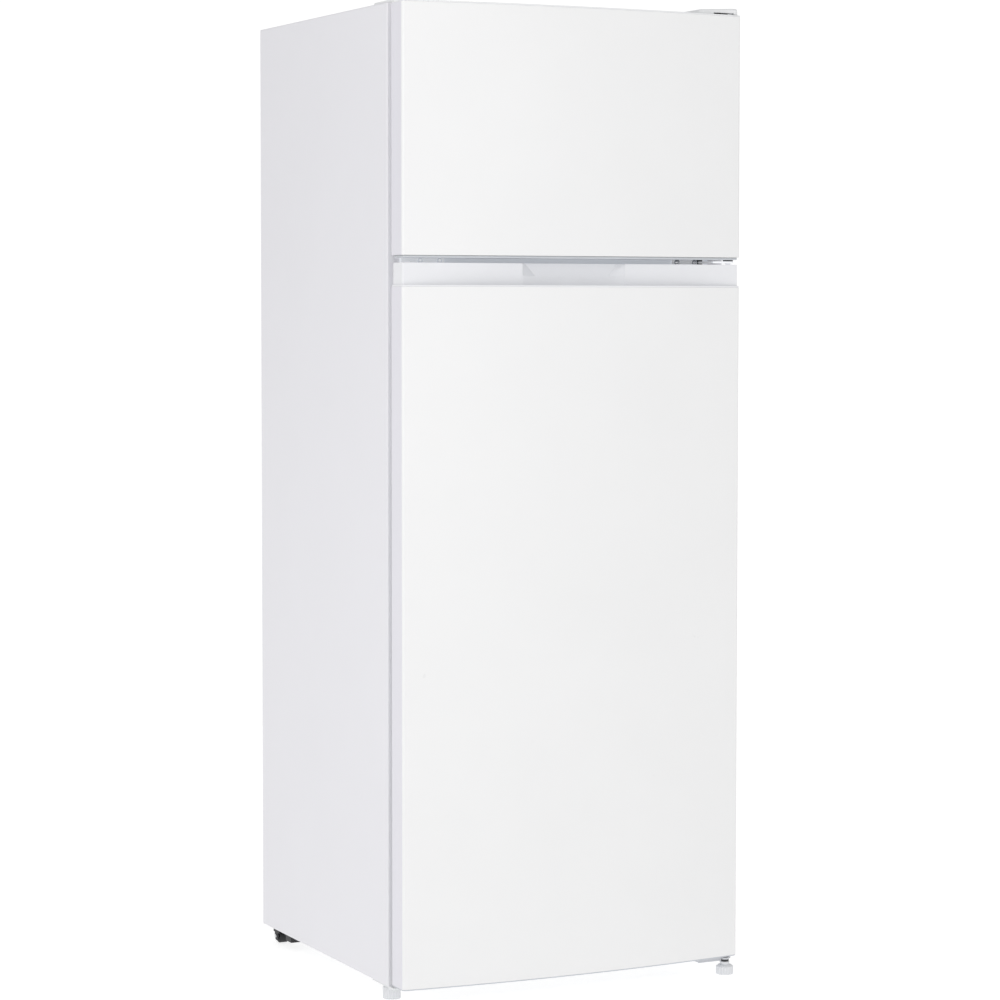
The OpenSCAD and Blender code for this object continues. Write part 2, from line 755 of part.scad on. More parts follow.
// Threaded bush for the right foot, shouldered to a pin that carries the fridge door
module bottom_hinge_pin() {
    seat_h = fr_cap_bot - nut_z0 - 0.3;
    color(dark) translate([pivot_x, pivot_y, nut_z0]) difference() {
        union() {
            cylinder(r = bush_r, h = seat_h);
            cylinder(r = pin_r, h = seat_h + 16);
        }
        translate([0, 0, -1]) cylinder(r = stem_r + fit, h = stem_top - nut_z0 + 1.2);
    }
}

// Folded bracket: face plate on the mid beam, arm forward to a pin up and down
mid_face_x0 = pivot_x - 74;
mid_face_x1 = pivot_x - 20;
arm_z0 = slot_mid - 1.5;
screw_xs = [pivot_x - 66, pivot_x - 36];

module mid_hinge() {
    color("#e4e5e6") {
        slab([mid_face_x0, cab_y0 - 2.5, slot_mid - 5], [mid_face_x1, cab_y0, slot_mid + 5]);
        slab([mid_face_x1 - 10, pivot_y, arm_z0], [mid_face_x1 + 3, cab_y0, arm_z0 + 3]);
        slab([mid_face_x1 - 10, pivot_y - 8, arm_z0], [pivot_x, pivot_y + 8, arm_z0 + 3]);
        translate([pivot_x, pivot_y, arm_z0]) cylinder(r = 8, h = 3);
        translate([pivot_x, pivot_y, band_z1 - 12]) cylinder(r = pin_r, h = fz_cap_bot - band_z1 + 28);
    }
}

module top_hinge() {
    color(zinc) {
        slab([pivot_x - 50, cab_y0 + 2, cab_z1], [pivot_x - 2, cab_y0 + 52, cab_z1 + 2.5]);
        slab([pivot_x - 14, pivot_y, cab_z1], [pivot_x + 8, cab_y0 + 3, cab_z1 + 2.5]);
        translate([pivot_x, pivot_y, cab_z1]) cylinder(r = 8, h = 2.5);
        translate([pivot_x, pivot_y, cab_z1 - 16]) cylinder(r = pin_r, h = 17);
    }
}

// Low lens-shaped lid over the top hinge
top_cover_t = 9.4;
module top_hinge_cover() {
    x0 = pivot_x - 56;
    x1 = pivot_x + 11;
    y0 = pivot_y - 11;
    y1 = cab_y0 + 58;
    wall = 1.6;
    color(white) difference() {
        hull() {
            for (x = [x0 + 10, x1 - 10], y = [y0 + 10, y1 - 10]) translate([x, y, cab_z1 + 0.1])
                cylinder(r = 10, h = 5, $fn = 32);
            for (x = [x0 + 16, x1 - 16], y = [y0 + 16, y1 - 16]) translate([x, y, cab_z1 + 0.1])
                cylinder(r = 10, h = top_cover_t - 0.1, $fn = 32);
        }
        slab([x0 + 6, cab_y0 - 1, cab_z1 - 1], [x1 - wall - 1, y1 - 6, cab_z1 + 6]);
        slab([pivot_x - 24, y0 + wall + 1, cab_z1 - 1], [x1 - wall - 1, cab_y0, cab_z1 + 5]);
    }
}

// All hinge and bracket screws are one kind
module hinge_screws() {
    color(dark) {
        for (x = screw_xs) translate([x, cab_y0 - 2.5, slot_mid]) rotate([90, 0, 0]) pan_head();
        for (x = [pivot_x - 40, pivot_x - 16]) translate([x, cab_y0 + 30, cab_z1 + 2.5]) pan_head();
        for (x = [pivot_x - 38, pivot_x - 8], y = [cab_y0 + 24, cab_y0 + 48])
            translate([x, y, cab_z0 - plate_t]) rotate([180, 0, 0]) pan_head();
        for (x = [-hw + 42, -hw + 54]) translate([x, cab_y0 + 48, cab_z0 - plate_t])
            rotate([180, 0, 0]) pan_head();
    }
}

module pan_head() {
    difference() {
        rotate_extrude() polygon([[0, 0], [4.5, 0], [4.5, 1.2], [3.4, 2.6], [0, 3]]);
        for (a = [0, 90]) rotate(a) slab([-2.4, -0.5, 1.6], [2.4, 0.5, 4]);
    }
}

// Plate over the unused screw holes of the mid beam
blank_t = 4.5;
module mid_blank_plate() {
    color("#d3d7dc") difference() {
        slab([-pivot_x + 6, cab_y0 - blank_t, slot_mid - 5], [-mid_face_x0, cab_y0, slot_mid + 5]);
        for (x = screw_xs) translate([-x, cab_y0 + 1, slot_mid]) rotate([90, 0, 0])
            cylinder(r = 3, h = blank_t + 2);
    }
}

module mid_blank_plugs() {
    color(white) for (x = screw_xs) translate([-x, cab_y0, slot_mid]) rotate([90, 0, 0]) {
        cylinder(r = 3, h = blank_t);
        translate([0, 0, blank_t]) rotate_extrude()
            polygon([[0, 0], [4.2, 0], [4, 0.8], [2.6, 1.5], [0, 1.7]]);
    }
}

// Low plate that closes the unused hinge holes on the cabinet's top
module top_left_cover() {
    color(white) hull() for (x = [-hw + 8, -hw + 60], y = [cab_y0 + 9, cab_y0 + 49])
        translate([x, y, cab_z1]) rotate_extrude($fn = 32)
            polygon([[0, 0], [6, 0], [6, 1], [4.5, 3], [0, 3]]);
}

// ---------- Inside ----------

module thermostat_housing() {
    x = stat_w / 2;
    z0 = fr_in_z1 - stat_h;
    color(liner_white) difference() {
        slab([-x, stat_y0, z0], [x, stat_y0 + stat_d, fr_in_z1]);
        slab([-x + 2, stat_y0 + 2, z0 + 2], [x - 2, stat_y0 + stat_d - 2, fr_in_z1 - 2]);
        translate([dial_x, stat_y0 - 1, z0 + stat_h / 2]) rotate([-90, 0, 0])
            cylinder(r = 3 + fit, h = 6);
        slab([-x + 14, stat_y0 - 1, z0 + 8], [-x + 74, stat_y0 + 3, z0 + stat_h - 8]);
    }
}

module lamp_lens() {
    x = -stat_w / 2;
    z0 = fr_in_z1 - stat_h;
    color(clear_glass) slab([x + 14 + gap, stat_y0, z0 + 8 + gap], [x + 74 - gap, stat_y0 + 2,
        z0 + stat_h - 8 - gap]);
}

// Dial with a pointer rib, its shaft bearing in the housing
module thermostat_knob() {
    z = fr_in_z1 - stat_h / 2;
    color(white) translate([dial_x, stat_y0 - 0.4, z]) rotate([90, 0, 0]) {
        translate([0, 0, -6]) cylinder(r = 3, h = 7);
        rotate_extrude() polygon([[0, 0], [dial_r, 0], [dial_r, 5], [dial_r - 1.5, 7],
            [0, 7]]);
        slab([-2.5, -dial_r + 2, 6], [2.5, dial_r - 2, 11]);
    }
}

module glass_shelves() {
    color(clear_glass) for (z = shelf_zs)
        slab([-shelf_hw, shelf_y0 + 8, z], [shelf_hw, in_y1 - 14, z + glass_t]);
}

// Front and rear edge trims that hold each glass
module shelf_trims() {
    color(white) for (z = shelf_zs) {
        difference() {
            slab([-shelf_hw, shelf_y0, z - 3.5], [shelf_hw, shelf_y0 + 14, z + glass_t + 3]);
            slab([-shelf_hw - 1, shelf_y0 + 8 - gap, z - gap], [shelf_hw + 1, shelf_y0 + 15,
                z + glass_t + gap]);
            for (s = [-1, 1])
                slab([s < 0 ? -hw : in_hw - shelf_rib - 1, shelf_y0 - 1, z - 8],
                    [s < 0 ? -in_hw + shelf_rib + 1 : hw, in_y1, z - gap]);
        }
        difference() {
            slab([-in_hw + 12, in_y1 - 20, z - 3], [in_hw - 12, in_y1 - 6, z + glass_t + 12]);
            slab([-hw, in_y1 - 21, z - gap], [hw, in_y1 - 13.8, z + glass_t + gap]);
        }
    }
}

module crisper_cover() {
    color(clear_glass) slab([-shelf_hw, cover_y0, cover_z], [shelf_hw, in_y1 - 14, cover_z + glass_t]);
}

// Open-topped vegetable drawer with a finger lip
module crisper_drawer() {
    z0 = fr_in_z0 + rail_h;
    z1 = cover_z - 9;
    w = 2.5;
    color([0.82, 0.9, 0.93, 0.6]) {
        difference() {
            slab([-drawer_hw, drawer_y0, z0], [drawer_hw, drawer_y1, z1]);
            slab([-drawer_hw + w, drawer_y0 + w, z0 + w], [drawer_hw - w, drawer_y1 - w, z1 + 1]);
        }
        slab([-70, drawer_y0 - 9, z1 - 16], [70, drawer_y0 + 1, z1 - 12]);
        slab([-drawer_hw - 8, drawer_y1 - lug_l, z1 - 8], [-drawer_hw + 1, drawer_y1, z1]);
        slab([drawer_hw - 1, drawer_y1 - lug_l, z1 - 8], [drawer_hw + 8, drawer_y1, z1]);
    }
}

// Wire shelf: two side rails, cross bars and length wires
module freezer_shelf() {
    y0 = cab_y0 + fz_balcony_depth + 34;
    y1 = in_y1 - 12;
    x = shelf_hw;
    wires = 14;
    color(white) {
        for (y = [y0, (y0 + y1) / 2, y1]) translate([-x, y, fz_shelf_z + 1]) rotate([0, 90, 0])
            cylinder(r = 3, h = 2 * x);
        for (i = [0:wires]) translate([-x + 8 + i * (2 * x - 16) / wires, y0, fz_shelf_z + 3])
            rotate([-90, 0, 0]) cylinder(r = 1.6, h = y1 - y0);
    }
}

// ---------- Freezer door ----------

fz_ridge_z0 = fz_in_z0 + 7;
fz_ridge_z1 = fz_in_z1 - 7;
fz_seal_z0 = fz_skin_z0 + 2;
fz_seal_z1 = fz_skin_z1 - 8;

module freezer_door_skin() { color(panel_white) door_skin(fz_skin_z0, fz_skin_z1); }

module freezer_door_foam() {
    color(foam_yellow) door_foam(fz_skin_z0 + 14, fz_skin_z1 - 14, fz_ridge_z0, fz_ridge_z1);
}

module freezer_door_liner() {
    color(liner_white) door_liner(fz_skin_z0 + 1, fz_skin_z1 - 1, fz_ridge_z0, fz_ridge_z1);
}

module freezer_door_gasket() { color(seal_grey) door_gasket(fz_seal_z0, fz_seal_z1); }

module freezer_door_top_cap() {
    color(white) {
        door_cap(fz_skin_z1, fz_cap_top, 0.3, fz_skin_z1 - 13, fz_skin_z1);
        unused_hole_plug(fz_cap_top);
    }
}

// Low round plug over the pin hole for the other door swing
module unused_hole_plug(z) {
    translate([-pivot_x, pivot_y, z - 1]) cylinder(r = 6.5, h = 2.6);
}

module freezer_door_bottom_cap() {
    color("#d9dbde") door_cap(fz_cap_bot, fz_skin_z0, 3, fz_skin_z0, fz_skin_z0 + 13);
}

module freezer_balconies() {
    color(clear_glass) for (z = fz_balcony_zs) door_tray(z, fz_balcony_depth, 55);
}

// ---------- Fridge door ----------

fr_ridge_z0 = fr_in_z0 + 7;
fr_ridge_z1 = fr_in_z1 - 7;
fr_seal_z0 = fr_skin_z0 + 16;
fr_seal_z1 = band_z1 - 5;

module fridge_door_skin() { color(panel_white) door_skin(fr_skin_z0, fr_skin_z1); }

module fridge_door_foam() {
    color(foam_yellow) door_foam(fr_skin_z0 + 14, fr_skin_z1 - 1, fr_ridge_z0, fr_ridge_z1);
}

module fridge_door_liner() {
    color(liner_white) door_liner(fr_skin_z0 + 1, band_z1 - 3, fr_ridge_z0, fr_ridge_z1);
}

module fridge_door_gasket() { color(seal_grey) door_gasket(fr_seal_z0, fr_seal_z1); }

// Band over the fridge door's skin with the finger recess in its middle
band_y0 = door_y0 + 3.4;                          // the band stands a little behind the skin's edge
band_hw = hw - 2;
crease_h = 13.5;                                  // height of the recess's crease above the ledge
module handle_trim() {
    rear = door_y1 - liner_t - gap;
    wall = 2.4;
    color("#eceef0") unused_hole_plug(band_z1);
    color("#eceef0") difference() {
        union() {
            slab([-band_hw, band_y0, fr_skin_z1 + ledge_h], [band_hw, rear, band_z1]);
            difference() {
                translate([0, 0, fr_skin_z1]) linear_extrude(ledge_h) door_plan(0.3);
                slab([-hw, rear, 0], [hw, door_y1 + 1, body_h]);
            }
        }
        grip_recess();
        // hollow inside, behind the recess and clear of the pin
        slab([-band_hw + wall, band_y0 + grip_depth + wall + 0.6, fr_skin_z1 - 1],
            [pivot_x - 10, rear - wall, band_z1 - wall]);
        pivot_hole(pin_r + fit, fr_skin_z1 - 1, band_z1 + 1);
    }
}

// Slanted ends, steep back, floor curving forward below the crease
module grip_recess() {
    y = band_y0;
    z_foot = fr_skin_z1 + ledge_h;
    z_crease = z_foot + crease_h;
    top = band_z1 + 0.5;
    w = grip_half_w;
    d = grip_depth;
    between(
        [[-w, y - 0.5, z_crease], [w, y - 0.5, z_crease], [w, y - 0.5, top], [-w, y - 0.5, top]],
        [[-w + 25, y + d - 0.4, z_crease], [w - 25, y + d - 0.4, z_crease],
            [w - 7.5, y + d, top], [-w + 7.5, y + d, top]]);
    between(
        [[-w, y - 0.5, z_foot], [w, y - 0.5, z_foot], [w, y - 0.5, z_crease], [-w, y - 0.5, z_crease]],
        [[-w + 32, y + 3, z_foot], [w - 32, y + 3, z_foot],
            [w - 25, y + d - 0.4, z_crease], [-w + 25, y + d - 0.4, z_crease]]);
}

module fridge_door_bottom_cap() {
    color("#d9dbde") door_cap(fr_cap_bot, fr_skin_z0, 0.6, fr_skin_z0, fr_skin_z0 + 13);
}

module bottle_rack() { color(clear_glass) door_tray(bottle_z, balcony_depth, balcony_h + 15); }

module door_balconies() {
    color(clear_glass) for (z = balcony_zs) door_tray(z, balcony_depth, balcony_h);
}

outer_wrap();
back_panel();
base_plate();
cabinet_foam();
freezer_liner();
fridge_liner();
mid_beam();
condenser_tube();
evaporator();
compressor_tray();
compressor();
compressor_grommets();
relay_box();
drip_tray();
filter_drier();
copper_pipes();
drain_tube();
cord_gland();
roller_brackets();
roller_axles();
foot_bracket_left();
bottom_hinge();
bottom_hinge_pin();
mid_hinge();
top_hinge();
top_hinge_cover();
hinge_screws();
mid_blank_plate();
mid_blank_plugs();
top_left_cover();
thermostat_housing();
lamp_lens();
glass_shelves();
shelf_trims();
crisper_cover();
freezer_shelf();
foot_left_stem();
foot_left_knob();
foot_right_stem();
foot_right_knob();
roller_left();
roller_right();
thermostat_knob();
crisper_drawer();
freezer_door_skin();
freezer_door_foam();
freezer_door_liner();
freezer_door_gasket();
freezer_door_top_cap();
freezer_door_bottom_cap();
freezer_balconies();
fridge_door_skin();
fridge_door_foam();
fridge_door_liner();
fridge_door_gasket();
handle_trim();
fridge_door_bottom_cap();
bottle_rack();
door_balconies();
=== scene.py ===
import json
import math

import bmesh
import bpy
from mathutils import Euler, Matrix, Vector

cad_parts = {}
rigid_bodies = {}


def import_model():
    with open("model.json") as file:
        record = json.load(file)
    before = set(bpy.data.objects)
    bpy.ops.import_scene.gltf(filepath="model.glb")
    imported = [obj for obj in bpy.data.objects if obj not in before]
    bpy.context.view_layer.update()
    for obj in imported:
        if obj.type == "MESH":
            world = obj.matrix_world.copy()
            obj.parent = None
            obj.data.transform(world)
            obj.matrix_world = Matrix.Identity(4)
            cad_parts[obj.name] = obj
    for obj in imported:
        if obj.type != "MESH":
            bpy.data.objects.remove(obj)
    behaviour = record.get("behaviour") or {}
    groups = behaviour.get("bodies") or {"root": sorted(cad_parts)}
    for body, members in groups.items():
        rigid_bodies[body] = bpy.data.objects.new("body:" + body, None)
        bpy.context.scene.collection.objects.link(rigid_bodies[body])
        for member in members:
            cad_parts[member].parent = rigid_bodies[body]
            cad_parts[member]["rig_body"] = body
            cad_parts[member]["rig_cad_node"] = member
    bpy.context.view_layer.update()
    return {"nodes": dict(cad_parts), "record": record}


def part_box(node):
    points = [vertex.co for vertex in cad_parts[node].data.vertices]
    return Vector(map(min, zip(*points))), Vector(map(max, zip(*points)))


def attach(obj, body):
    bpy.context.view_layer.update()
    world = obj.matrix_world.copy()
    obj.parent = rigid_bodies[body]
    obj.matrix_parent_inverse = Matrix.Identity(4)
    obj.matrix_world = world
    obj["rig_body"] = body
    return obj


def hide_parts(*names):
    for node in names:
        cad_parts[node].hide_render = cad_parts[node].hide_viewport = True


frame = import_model()
MM = 0.001


# ---------- Workbench: how every piece is started, picked at and finished ----------

def deselect():
    """Back to object mode with nothing selected."""
    if bpy.context.mode != "OBJECT":
        bpy.ops.object.mode_set(mode="OBJECT")
    bpy.ops.object.select_all(action="DESELECT")


def only(piece):
    deselect()
    piece.select_set(True)
    bpy.context.view_layer.objects.active = piece


def settle(name):
    """The new primitive gets its name, and its place goes into its mesh."""
    piece = bpy.context.active_object
    piece.name = name
    piece.data.name = name
    bpy.ops.object.transform_apply(location=True, rotation=True, scale=True)
    return piece


def block(name, low, high):
    """A box between two corners given in millimetres."""
    deselect()
    middle = [(a + b) / 2 * MM for a, b in zip(low, high)]
    size = [(b - a) * MM for a, b in zip(low, high)]
    bpy.ops.mesh.primitive_cube_add(size=1, location=middle, scale=size)
    return settle(name)


def rod(name, start, length, radius, axis="Z", sides=32):
    """A round bar from a point in millimetres along an axis."""
    deselect()
    way = {"X": Vector((1, 0, 0)), "Y": Vector((0, 1, 0)), "Z": Vector((0, 0, 1))}[axis]
    middle = (Vector(start) + way * length / 2) * MM
    turn = {"X": (0, math.pi / 2, 0), "Y": (-math.pi / 2, 0, 0), "Z": (0, 0, 0)}[axis]
    bpy.ops.mesh.primitive_cone_add(vertices=sides, radius1=radius * MM, radius2=radius * MM,
                                    depth=length * MM, location=middle, rotation=turn)
    return settle(name)


def edit(piece, kind="FACE"):
    only(piece)
    bpy.ops.object.mode_set(mode="EDIT")
    bpy.ops.mesh.select_mode(type=kind)
    bpy.ops.mesh.select_all(action="DESELECT")


def pick_faces(piece, test):
    """Selects the faces whose middle, in millimetres, and normal pass the test."""
    edit(piece, "FACE")
    shape = bmesh.from_edit_mesh(piece.data)
    for face in shape.faces:
        if test(face.calc_center_median() / MM, face.normal):
            face.select_set(True)
    bmesh.update_edit_mesh(piece.data)


def pick_edges(piece, test):
    """Selects the edges whose two ends, in millimetres, pass the test."""
    edit(piece, "EDGE")
    shape = bmesh.from_edit_mesh(piece.data)
    for edge in shape.edges:
        if test(edge.verts[0].co / MM, edge.verts[1].co / MM):
            edge.select_set(True)
    bmesh.update_edit_mesh(piece.data)


def near(a, b, slack=0.02):
    return abs(a - b) < slack


def along(axis):
    """Edges that run along one axis."""
    others = [i for i in range(3) if i != axis]
    return lambda a, b: all(near(a[i], b[i]) for i in others)


def round_picked(width, segments=4):
    bpy.ops.mesh.bevel(offset=width * MM, segments=segments, affect="EDGES", clamp_overlap=True)
    bpy.ops.object.mode_set(mode="OBJECT")


def round_edges(piece, width, segments, test):
    pick_edges(piece, test)
    round_picked(width, segments)
    return piece


def modify(piece, kind, **settings):
    """Adds a modifier and applies it."""
    only(piece)
    modifier = piece.modifiers.new(kind.title(), kind)
    for key, value in settings.items():
        setattr(modifier, key, value)
    bpy.ops.object.modifier_apply(modifier=modifier.name)
    return piece


def smooth(piece, angle=40):
    """Smooth shading that leaves the large flat faces flat."""
    only(piece)
    bpy.ops.object.shade_smooth_by_angle(angle=math.radians(angle))
    return modify(piece, "WEIGHTED_NORMAL", mode="FACE_AREA", weight=100, keep_sharp=True)


def ease(piece, width, segments=2, angle=30):
    """Takes the sharpness off every edge steeper than the angle."""
    modify(piece, "BEVEL", width=width * MM, segments=segments, limit_method="ANGLE",
           angle_limit=math.radians(angle), harden_normals=False, use_clamp_overlap=True)
    return smooth(piece)


def cut(piece, *tools):
    """Takes the tools' volumes out of the piece."""
    for tool in tools:
        modify(piece, "BOOLEAN", operation="DIFFERENCE", object=tool, solver="EXACT")
        bpy.data.objects.remove(tool)
    return piece


def weld(piece, *others):
    """Unites solid pieces into one skin."""
    for other in others:
        modify(piece, "BOOLEAN", operation="UNION", object=other, solver="EXACT")
        bpy.data.objects.remove(other)
    return piece


def join(name, pieces):
    """Joins pieces into one object, each keeping its own skin."""
    deselect()
    for piece in pieces:
        piece.select_set(True)
    bpy.context.view_layer.objects.active = pieces[0]
    if len(pieces) > 1:
        bpy.ops.object.join()
    pieces[0].name = name
    pieces[0].data.name = name
    return pieces[0]


def from_cad(node, name, width, segments=2):
    """A copy of a CAD node as one skin, with its edges eased where a width is given."""
    only(frame["nodes"][node])
    bpy.ops.object.duplicate()
    piece = bpy.context.active_object
    piece.parent = None
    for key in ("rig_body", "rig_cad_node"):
        if key in piece:
            del piece[key]
    piece.name = name
    piece.data.name = name
    edit(piece)
    bpy.ops.mesh.select_all(action="SELECT")
    bpy.ops.mesh.remove_doubles(threshold=0.00001)
    bpy.ops.mesh.dissolve_limited(angle_limit=math.radians(1))
    bpy.ops.object.mode_set(mode="OBJECT")
    if width:
        ease(piece, width, segments)
    return piece


def face_outwards(piece):
    """Turns every face of the piece outwards."""
    edit(piece)
    bpy.ops.mesh.select_all(action="SELECT")
    bpy.ops.mesh.normals_make_consistent(inside=False)
    bpy.ops.object.mode_set(mode="OBJECT")


def face_finish(piece, finish_name, test):
    """Gives the faces that pass the test a second finish."""
    piece.data.materials.append(FINISHES[finish_name])
    pick_faces(piece, test)
    piece.active_material_index = 1
    bpy.ops.object.material_slot_assign()
    bpy.ops.object.mode_set(mode="OBJECT")


# ---------- Finishes ----------

GRAIN_HEIGHT = 0.0004                      # metres, of which each finish takes its share


def finish(name, colour, roughness, metallic=0.0, tone=0.02, tone_scale=9, grain=0.1, grain_scale=700,
           spread=0.05, cells=False, **sockets):
    """A finish with slow changes of tone, uneven gloss and a fine surface grain."""
    material = bpy.data.materials.new(name)
    material.use_nodes = True
    tree = material.node_tree
    shader = tree.nodes["Principled BSDF"]
    place = tree.nodes.new("ShaderNodeTexCoord")

    def noise(scale, detail):
        node = tree.nodes.new("ShaderNodeTexNoise")
        node.inputs["Scale"].default_value = scale
        node.inputs["Detail"].default_value = detail
        tree.links.new(place.outputs["Object"], node.inputs["Vector"])
        return node

    slow = noise(tone_scale, 3)
    ramp = tree.nodes.new("ShaderNodeValToRGB")
    for element, where, shade in zip(ramp.color_ramp.elements, (0.3, 0.7), (1 - tone, 1 + tone)):
        element.position = where
        element.color = [min(1, c * shade) for c in colour] + [1]
    tree.links.new(slow.outputs["Fac"], ramp.inputs["Fac"])
    tree.links.new(ramp.outputs["Color"], shader.inputs["Base Color"])

    gloss = tree.nodes.new("ShaderNodeMapRange")
    gloss.inputs["To Min"].default_value = max(0, roughness - spread)
    gloss.inputs["To Max"].default_value = min(1, roughness + spread)
    tree.links.new(noise(tone_scale * 4, 4).outputs["Fac"], gloss.inputs["Value"])
    tree.links.new(gloss.outputs["Result"], shader.inputs["Roughness"])

    if cells:
        height = tree.nodes.new("ShaderNodeTexVoronoi")
        height.inputs["Scale"].default_value = grain_scale
        tree.links.new(place.outputs["Object"], height.inputs["Vector"])
        rise = height.outputs["Distance"]
    else:
        rise = noise(grain_scale, 2).outputs["Fac"]
    bump = tree.nodes.new("ShaderNodeBump")
    bump.inputs["Strength"].default_value = grain
    bump.inputs["Distance"].default_value = GRAIN_HEIGHT
    tree.links.new(rise, bump.inputs["Height"])
    tree.links.new(bump.outputs["Normal"], shader.inputs["Normal"])
    shader.inputs["Metallic"].default_value = metallic
    for socket, value in sockets.items():
        shader.inputs[socket.replace("_", " ")].default_value = value
    return material


FINISHES = {
    "painted_steel": finish("cabinet_enamel", (0.836, 0.831, 0.866), 0.36, tone=0.005, grain=0.08,
                            grain_scale=520),
    "door_steel": finish("door_enamel", (0.884, 0.884, 0.886), 0.30, tone=0.006, grain=0.07, grain_scale=420),
    "zinc_steel": finish("zinc_plate", (0.62, 0.63, 0.64), 0.38, metallic=1.0, tone=0.12,
                         tone_scale=70, grain=0.12, grain_scale=160, spread=0.12, cells=True),
    "white_bracket": finish("bracket_enamel", (0.8, 0.81, 0.82), 0.38, grain=0.12, grain_scale=800),
    "dark_steel": finish("black_enamel", (0.014, 0.014, 0.016), 0.5, tone=0.2, grain=0.2,
                         grain_scale=600),
    "liner_plastic": finish("liner_plastic", (0.87, 0.885, 0.9), 0.24, tone=0.01, tone_scale=4,
                            grain=0.05, grain_scale=90),
    "white_plastic": finish("white_moulding", (0.86, 0.868, 0.878), 0.42, tone=0.012, grain=0.16,
                            grain_scale=1500),
    "grey_plastic": finish("grey_moulding", (0.6, 0.625, 0.66), 0.46, tone=0.02, grain=0.2,
                           grain_scale=1500),
    "dark_plastic": finish("black_moulding", (0.012, 0.012, 0.014), 0.6, tone=0.25, grain=0.25,
                           grain_scale=1300),
    "seal_vinyl": finish("seal_vinyl", (0.57, 0.585, 0.62), 0.52, tone=0.03, tone_scale=20, grain=0.12,
                         grain_scale=900),
    "black_rubber": finish("black_rubber", (0.022, 0.022, 0.023), 0.72, tone=0.3, grain=0.35,
                           grain_scale=1100),
    "foam": finish("insulating_foam", (0.78, 0.66, 0.4), 0.9, tone=0.12, tone_scale=30, grain=0.7,
                   grain_scale=420, cells=True),
    "clear_plastic": finish("clear_plastic", (0.86, 0.92, 0.96), 0.14, tone=0.006, grain=0.03,
                            grain_scale=60, spread=0.03, Alpha=0.34, IOR=1.4),
    "shelf_glass": finish("shelf_glass", (0.8, 0.93, 0.9), 0.05, tone=0.006, grain=0.01,
                          grain_scale=20, spread=0.01, Alpha=0.3, IOR=1.45),
    "chrome": finish("screw_chrome", (0.75, 0.76, 0.78), 0.14, metallic=1.0, tone=0.03, tone_scale=200,
                     grain=0.05, grain_scale=900, spread=0.04),
    "copper_tube": finish("copper", (0.72, 0.36, 0.22), 0.34, metallic=1.0, tone=0.18, tone_scale=60,
                          grain=0.1, grain_scale=300, spread=0.1),
    "evaporator_plate": finish("evaporator_aluminium", (0.72, 0.74, 0.76), 0.4, metallic=1.0,
                               tone=0.05, tone_scale=40, grain=0.15, grain_scale=500),
    # painted light: the mid rail's bluish grey enamel glows, standing in for light reaching into the slot
    # between the doors
    "mid_rail_painted_glow": finish("mid_rail_glowing_enamel", (0.56, 0.575, 0.62), 0.4, grain=0.1, grain_scale=700,
                       Emission_Color=(0.9, 0.94, 1, 1), Emission_Strength=0.34),
    # painted light: the mid hinge plate's enamel glows so the plate looks lit inside the slot
    "mid_bracket_painted_glow": finish("mid_bracket_glowing_enamel", (0.78, 0.79, 0.81), 0.34, grain=0.1, grain_scale=700,
                          Emission_Color=(0.96, 0.97, 1, 1), Emission_Strength=0.24),
    # painted shade: a darker, more lavender copy of the door enamel for the doors' narrow sides
    "door_side_painted_shade": finish("door_side_shaded_enamel", (0.79, 0.782, 0.835), 0.34, tone=0.006, grain=0.07,
                        grain_scale=420),
    # painted light: the handle band's moulding glows faintly, lightening the band and its finger recess
    "band_painted_glow": finish("band_glowing_moulding", (0.815, 0.82, 0.845), 0.4, tone=0.012, grain=0.16,
                         grain_scale=1500, Emission_Color=(1, 1, 1, 1), Emission_Strength=0.03),
    # painted light: the grey blank plate glows so it reads bright inside the slot
    "blank_painted_glow": finish("blank_glowing_moulding", (0.64, 0.65, 0.68), 0.4, grain=0.1, grain_scale=900,
                         Emission_Color=(0.93, 0.96, 1, 1), Emission_Strength=0.4),
    # painted shade: a grey copy of the white bracket enamel for the bottom hinge plate, which sits in shade
    # under the door
    "hinge_painted_shade": finish("hinge_shaded_enamel", (0.6, 0.61, 0.64), 0.3, tone=0.02, grain=0.12, grain_scale=800),
    "bolt_black": finish("bolt_black", (0.02, 0.02, 0.023), 0.18, tone=0.2, grain=0.1, grain_scale=900),
    "knob_grey": finish("foot_moulding", (0.77, 0.78, 0.8), 0.3, tone=0.02, grain=0.15,
                        grain_scale=1300),
    # painted highlight: a glowing white for the small dots in the middle of the blank plate's plugs
    "plug_painted_glint": finish("plug_painted_glint", (0.85, 0.86, 0.88), 0.25, grain=0.1, grain_scale=900,
                         Emission_Color=(0.97, 0.98, 1, 1), Emission_Strength=0.45),
}
NODE_SLOT = {p["node"]: p["material_slot"] for p in frame["record"]["subparts"]}
BODY_OF = {node: body for body, names in frame["record"]["behaviour"]["bodies"].items() for node in names}

for node, part in frame["nodes"].items():
    part.data.materials.clear()
    part.data.materials.append(FINISHES[NODE_SLOT[node]])


def fit(piece, node, *more, slot=None, stands_for=True):
    """The piece takes the node's body and finish, and the nodes it stands for are hidden."""
    slot = slot or NODE_SLOT[node]
    piece.data.materials.clear()
    piece.data.materials.append(FINISHES[slot])
    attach(piece, BODY_OF[node])
    if stands_for:
        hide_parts(node, *more)
    return piece


def corners(node):
    low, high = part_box(node)
    return [v / MM for v in low], [v / MM for v in high]


# ---------- Sizes, in millimetres, read from the CAD part or repeated from its source ----------

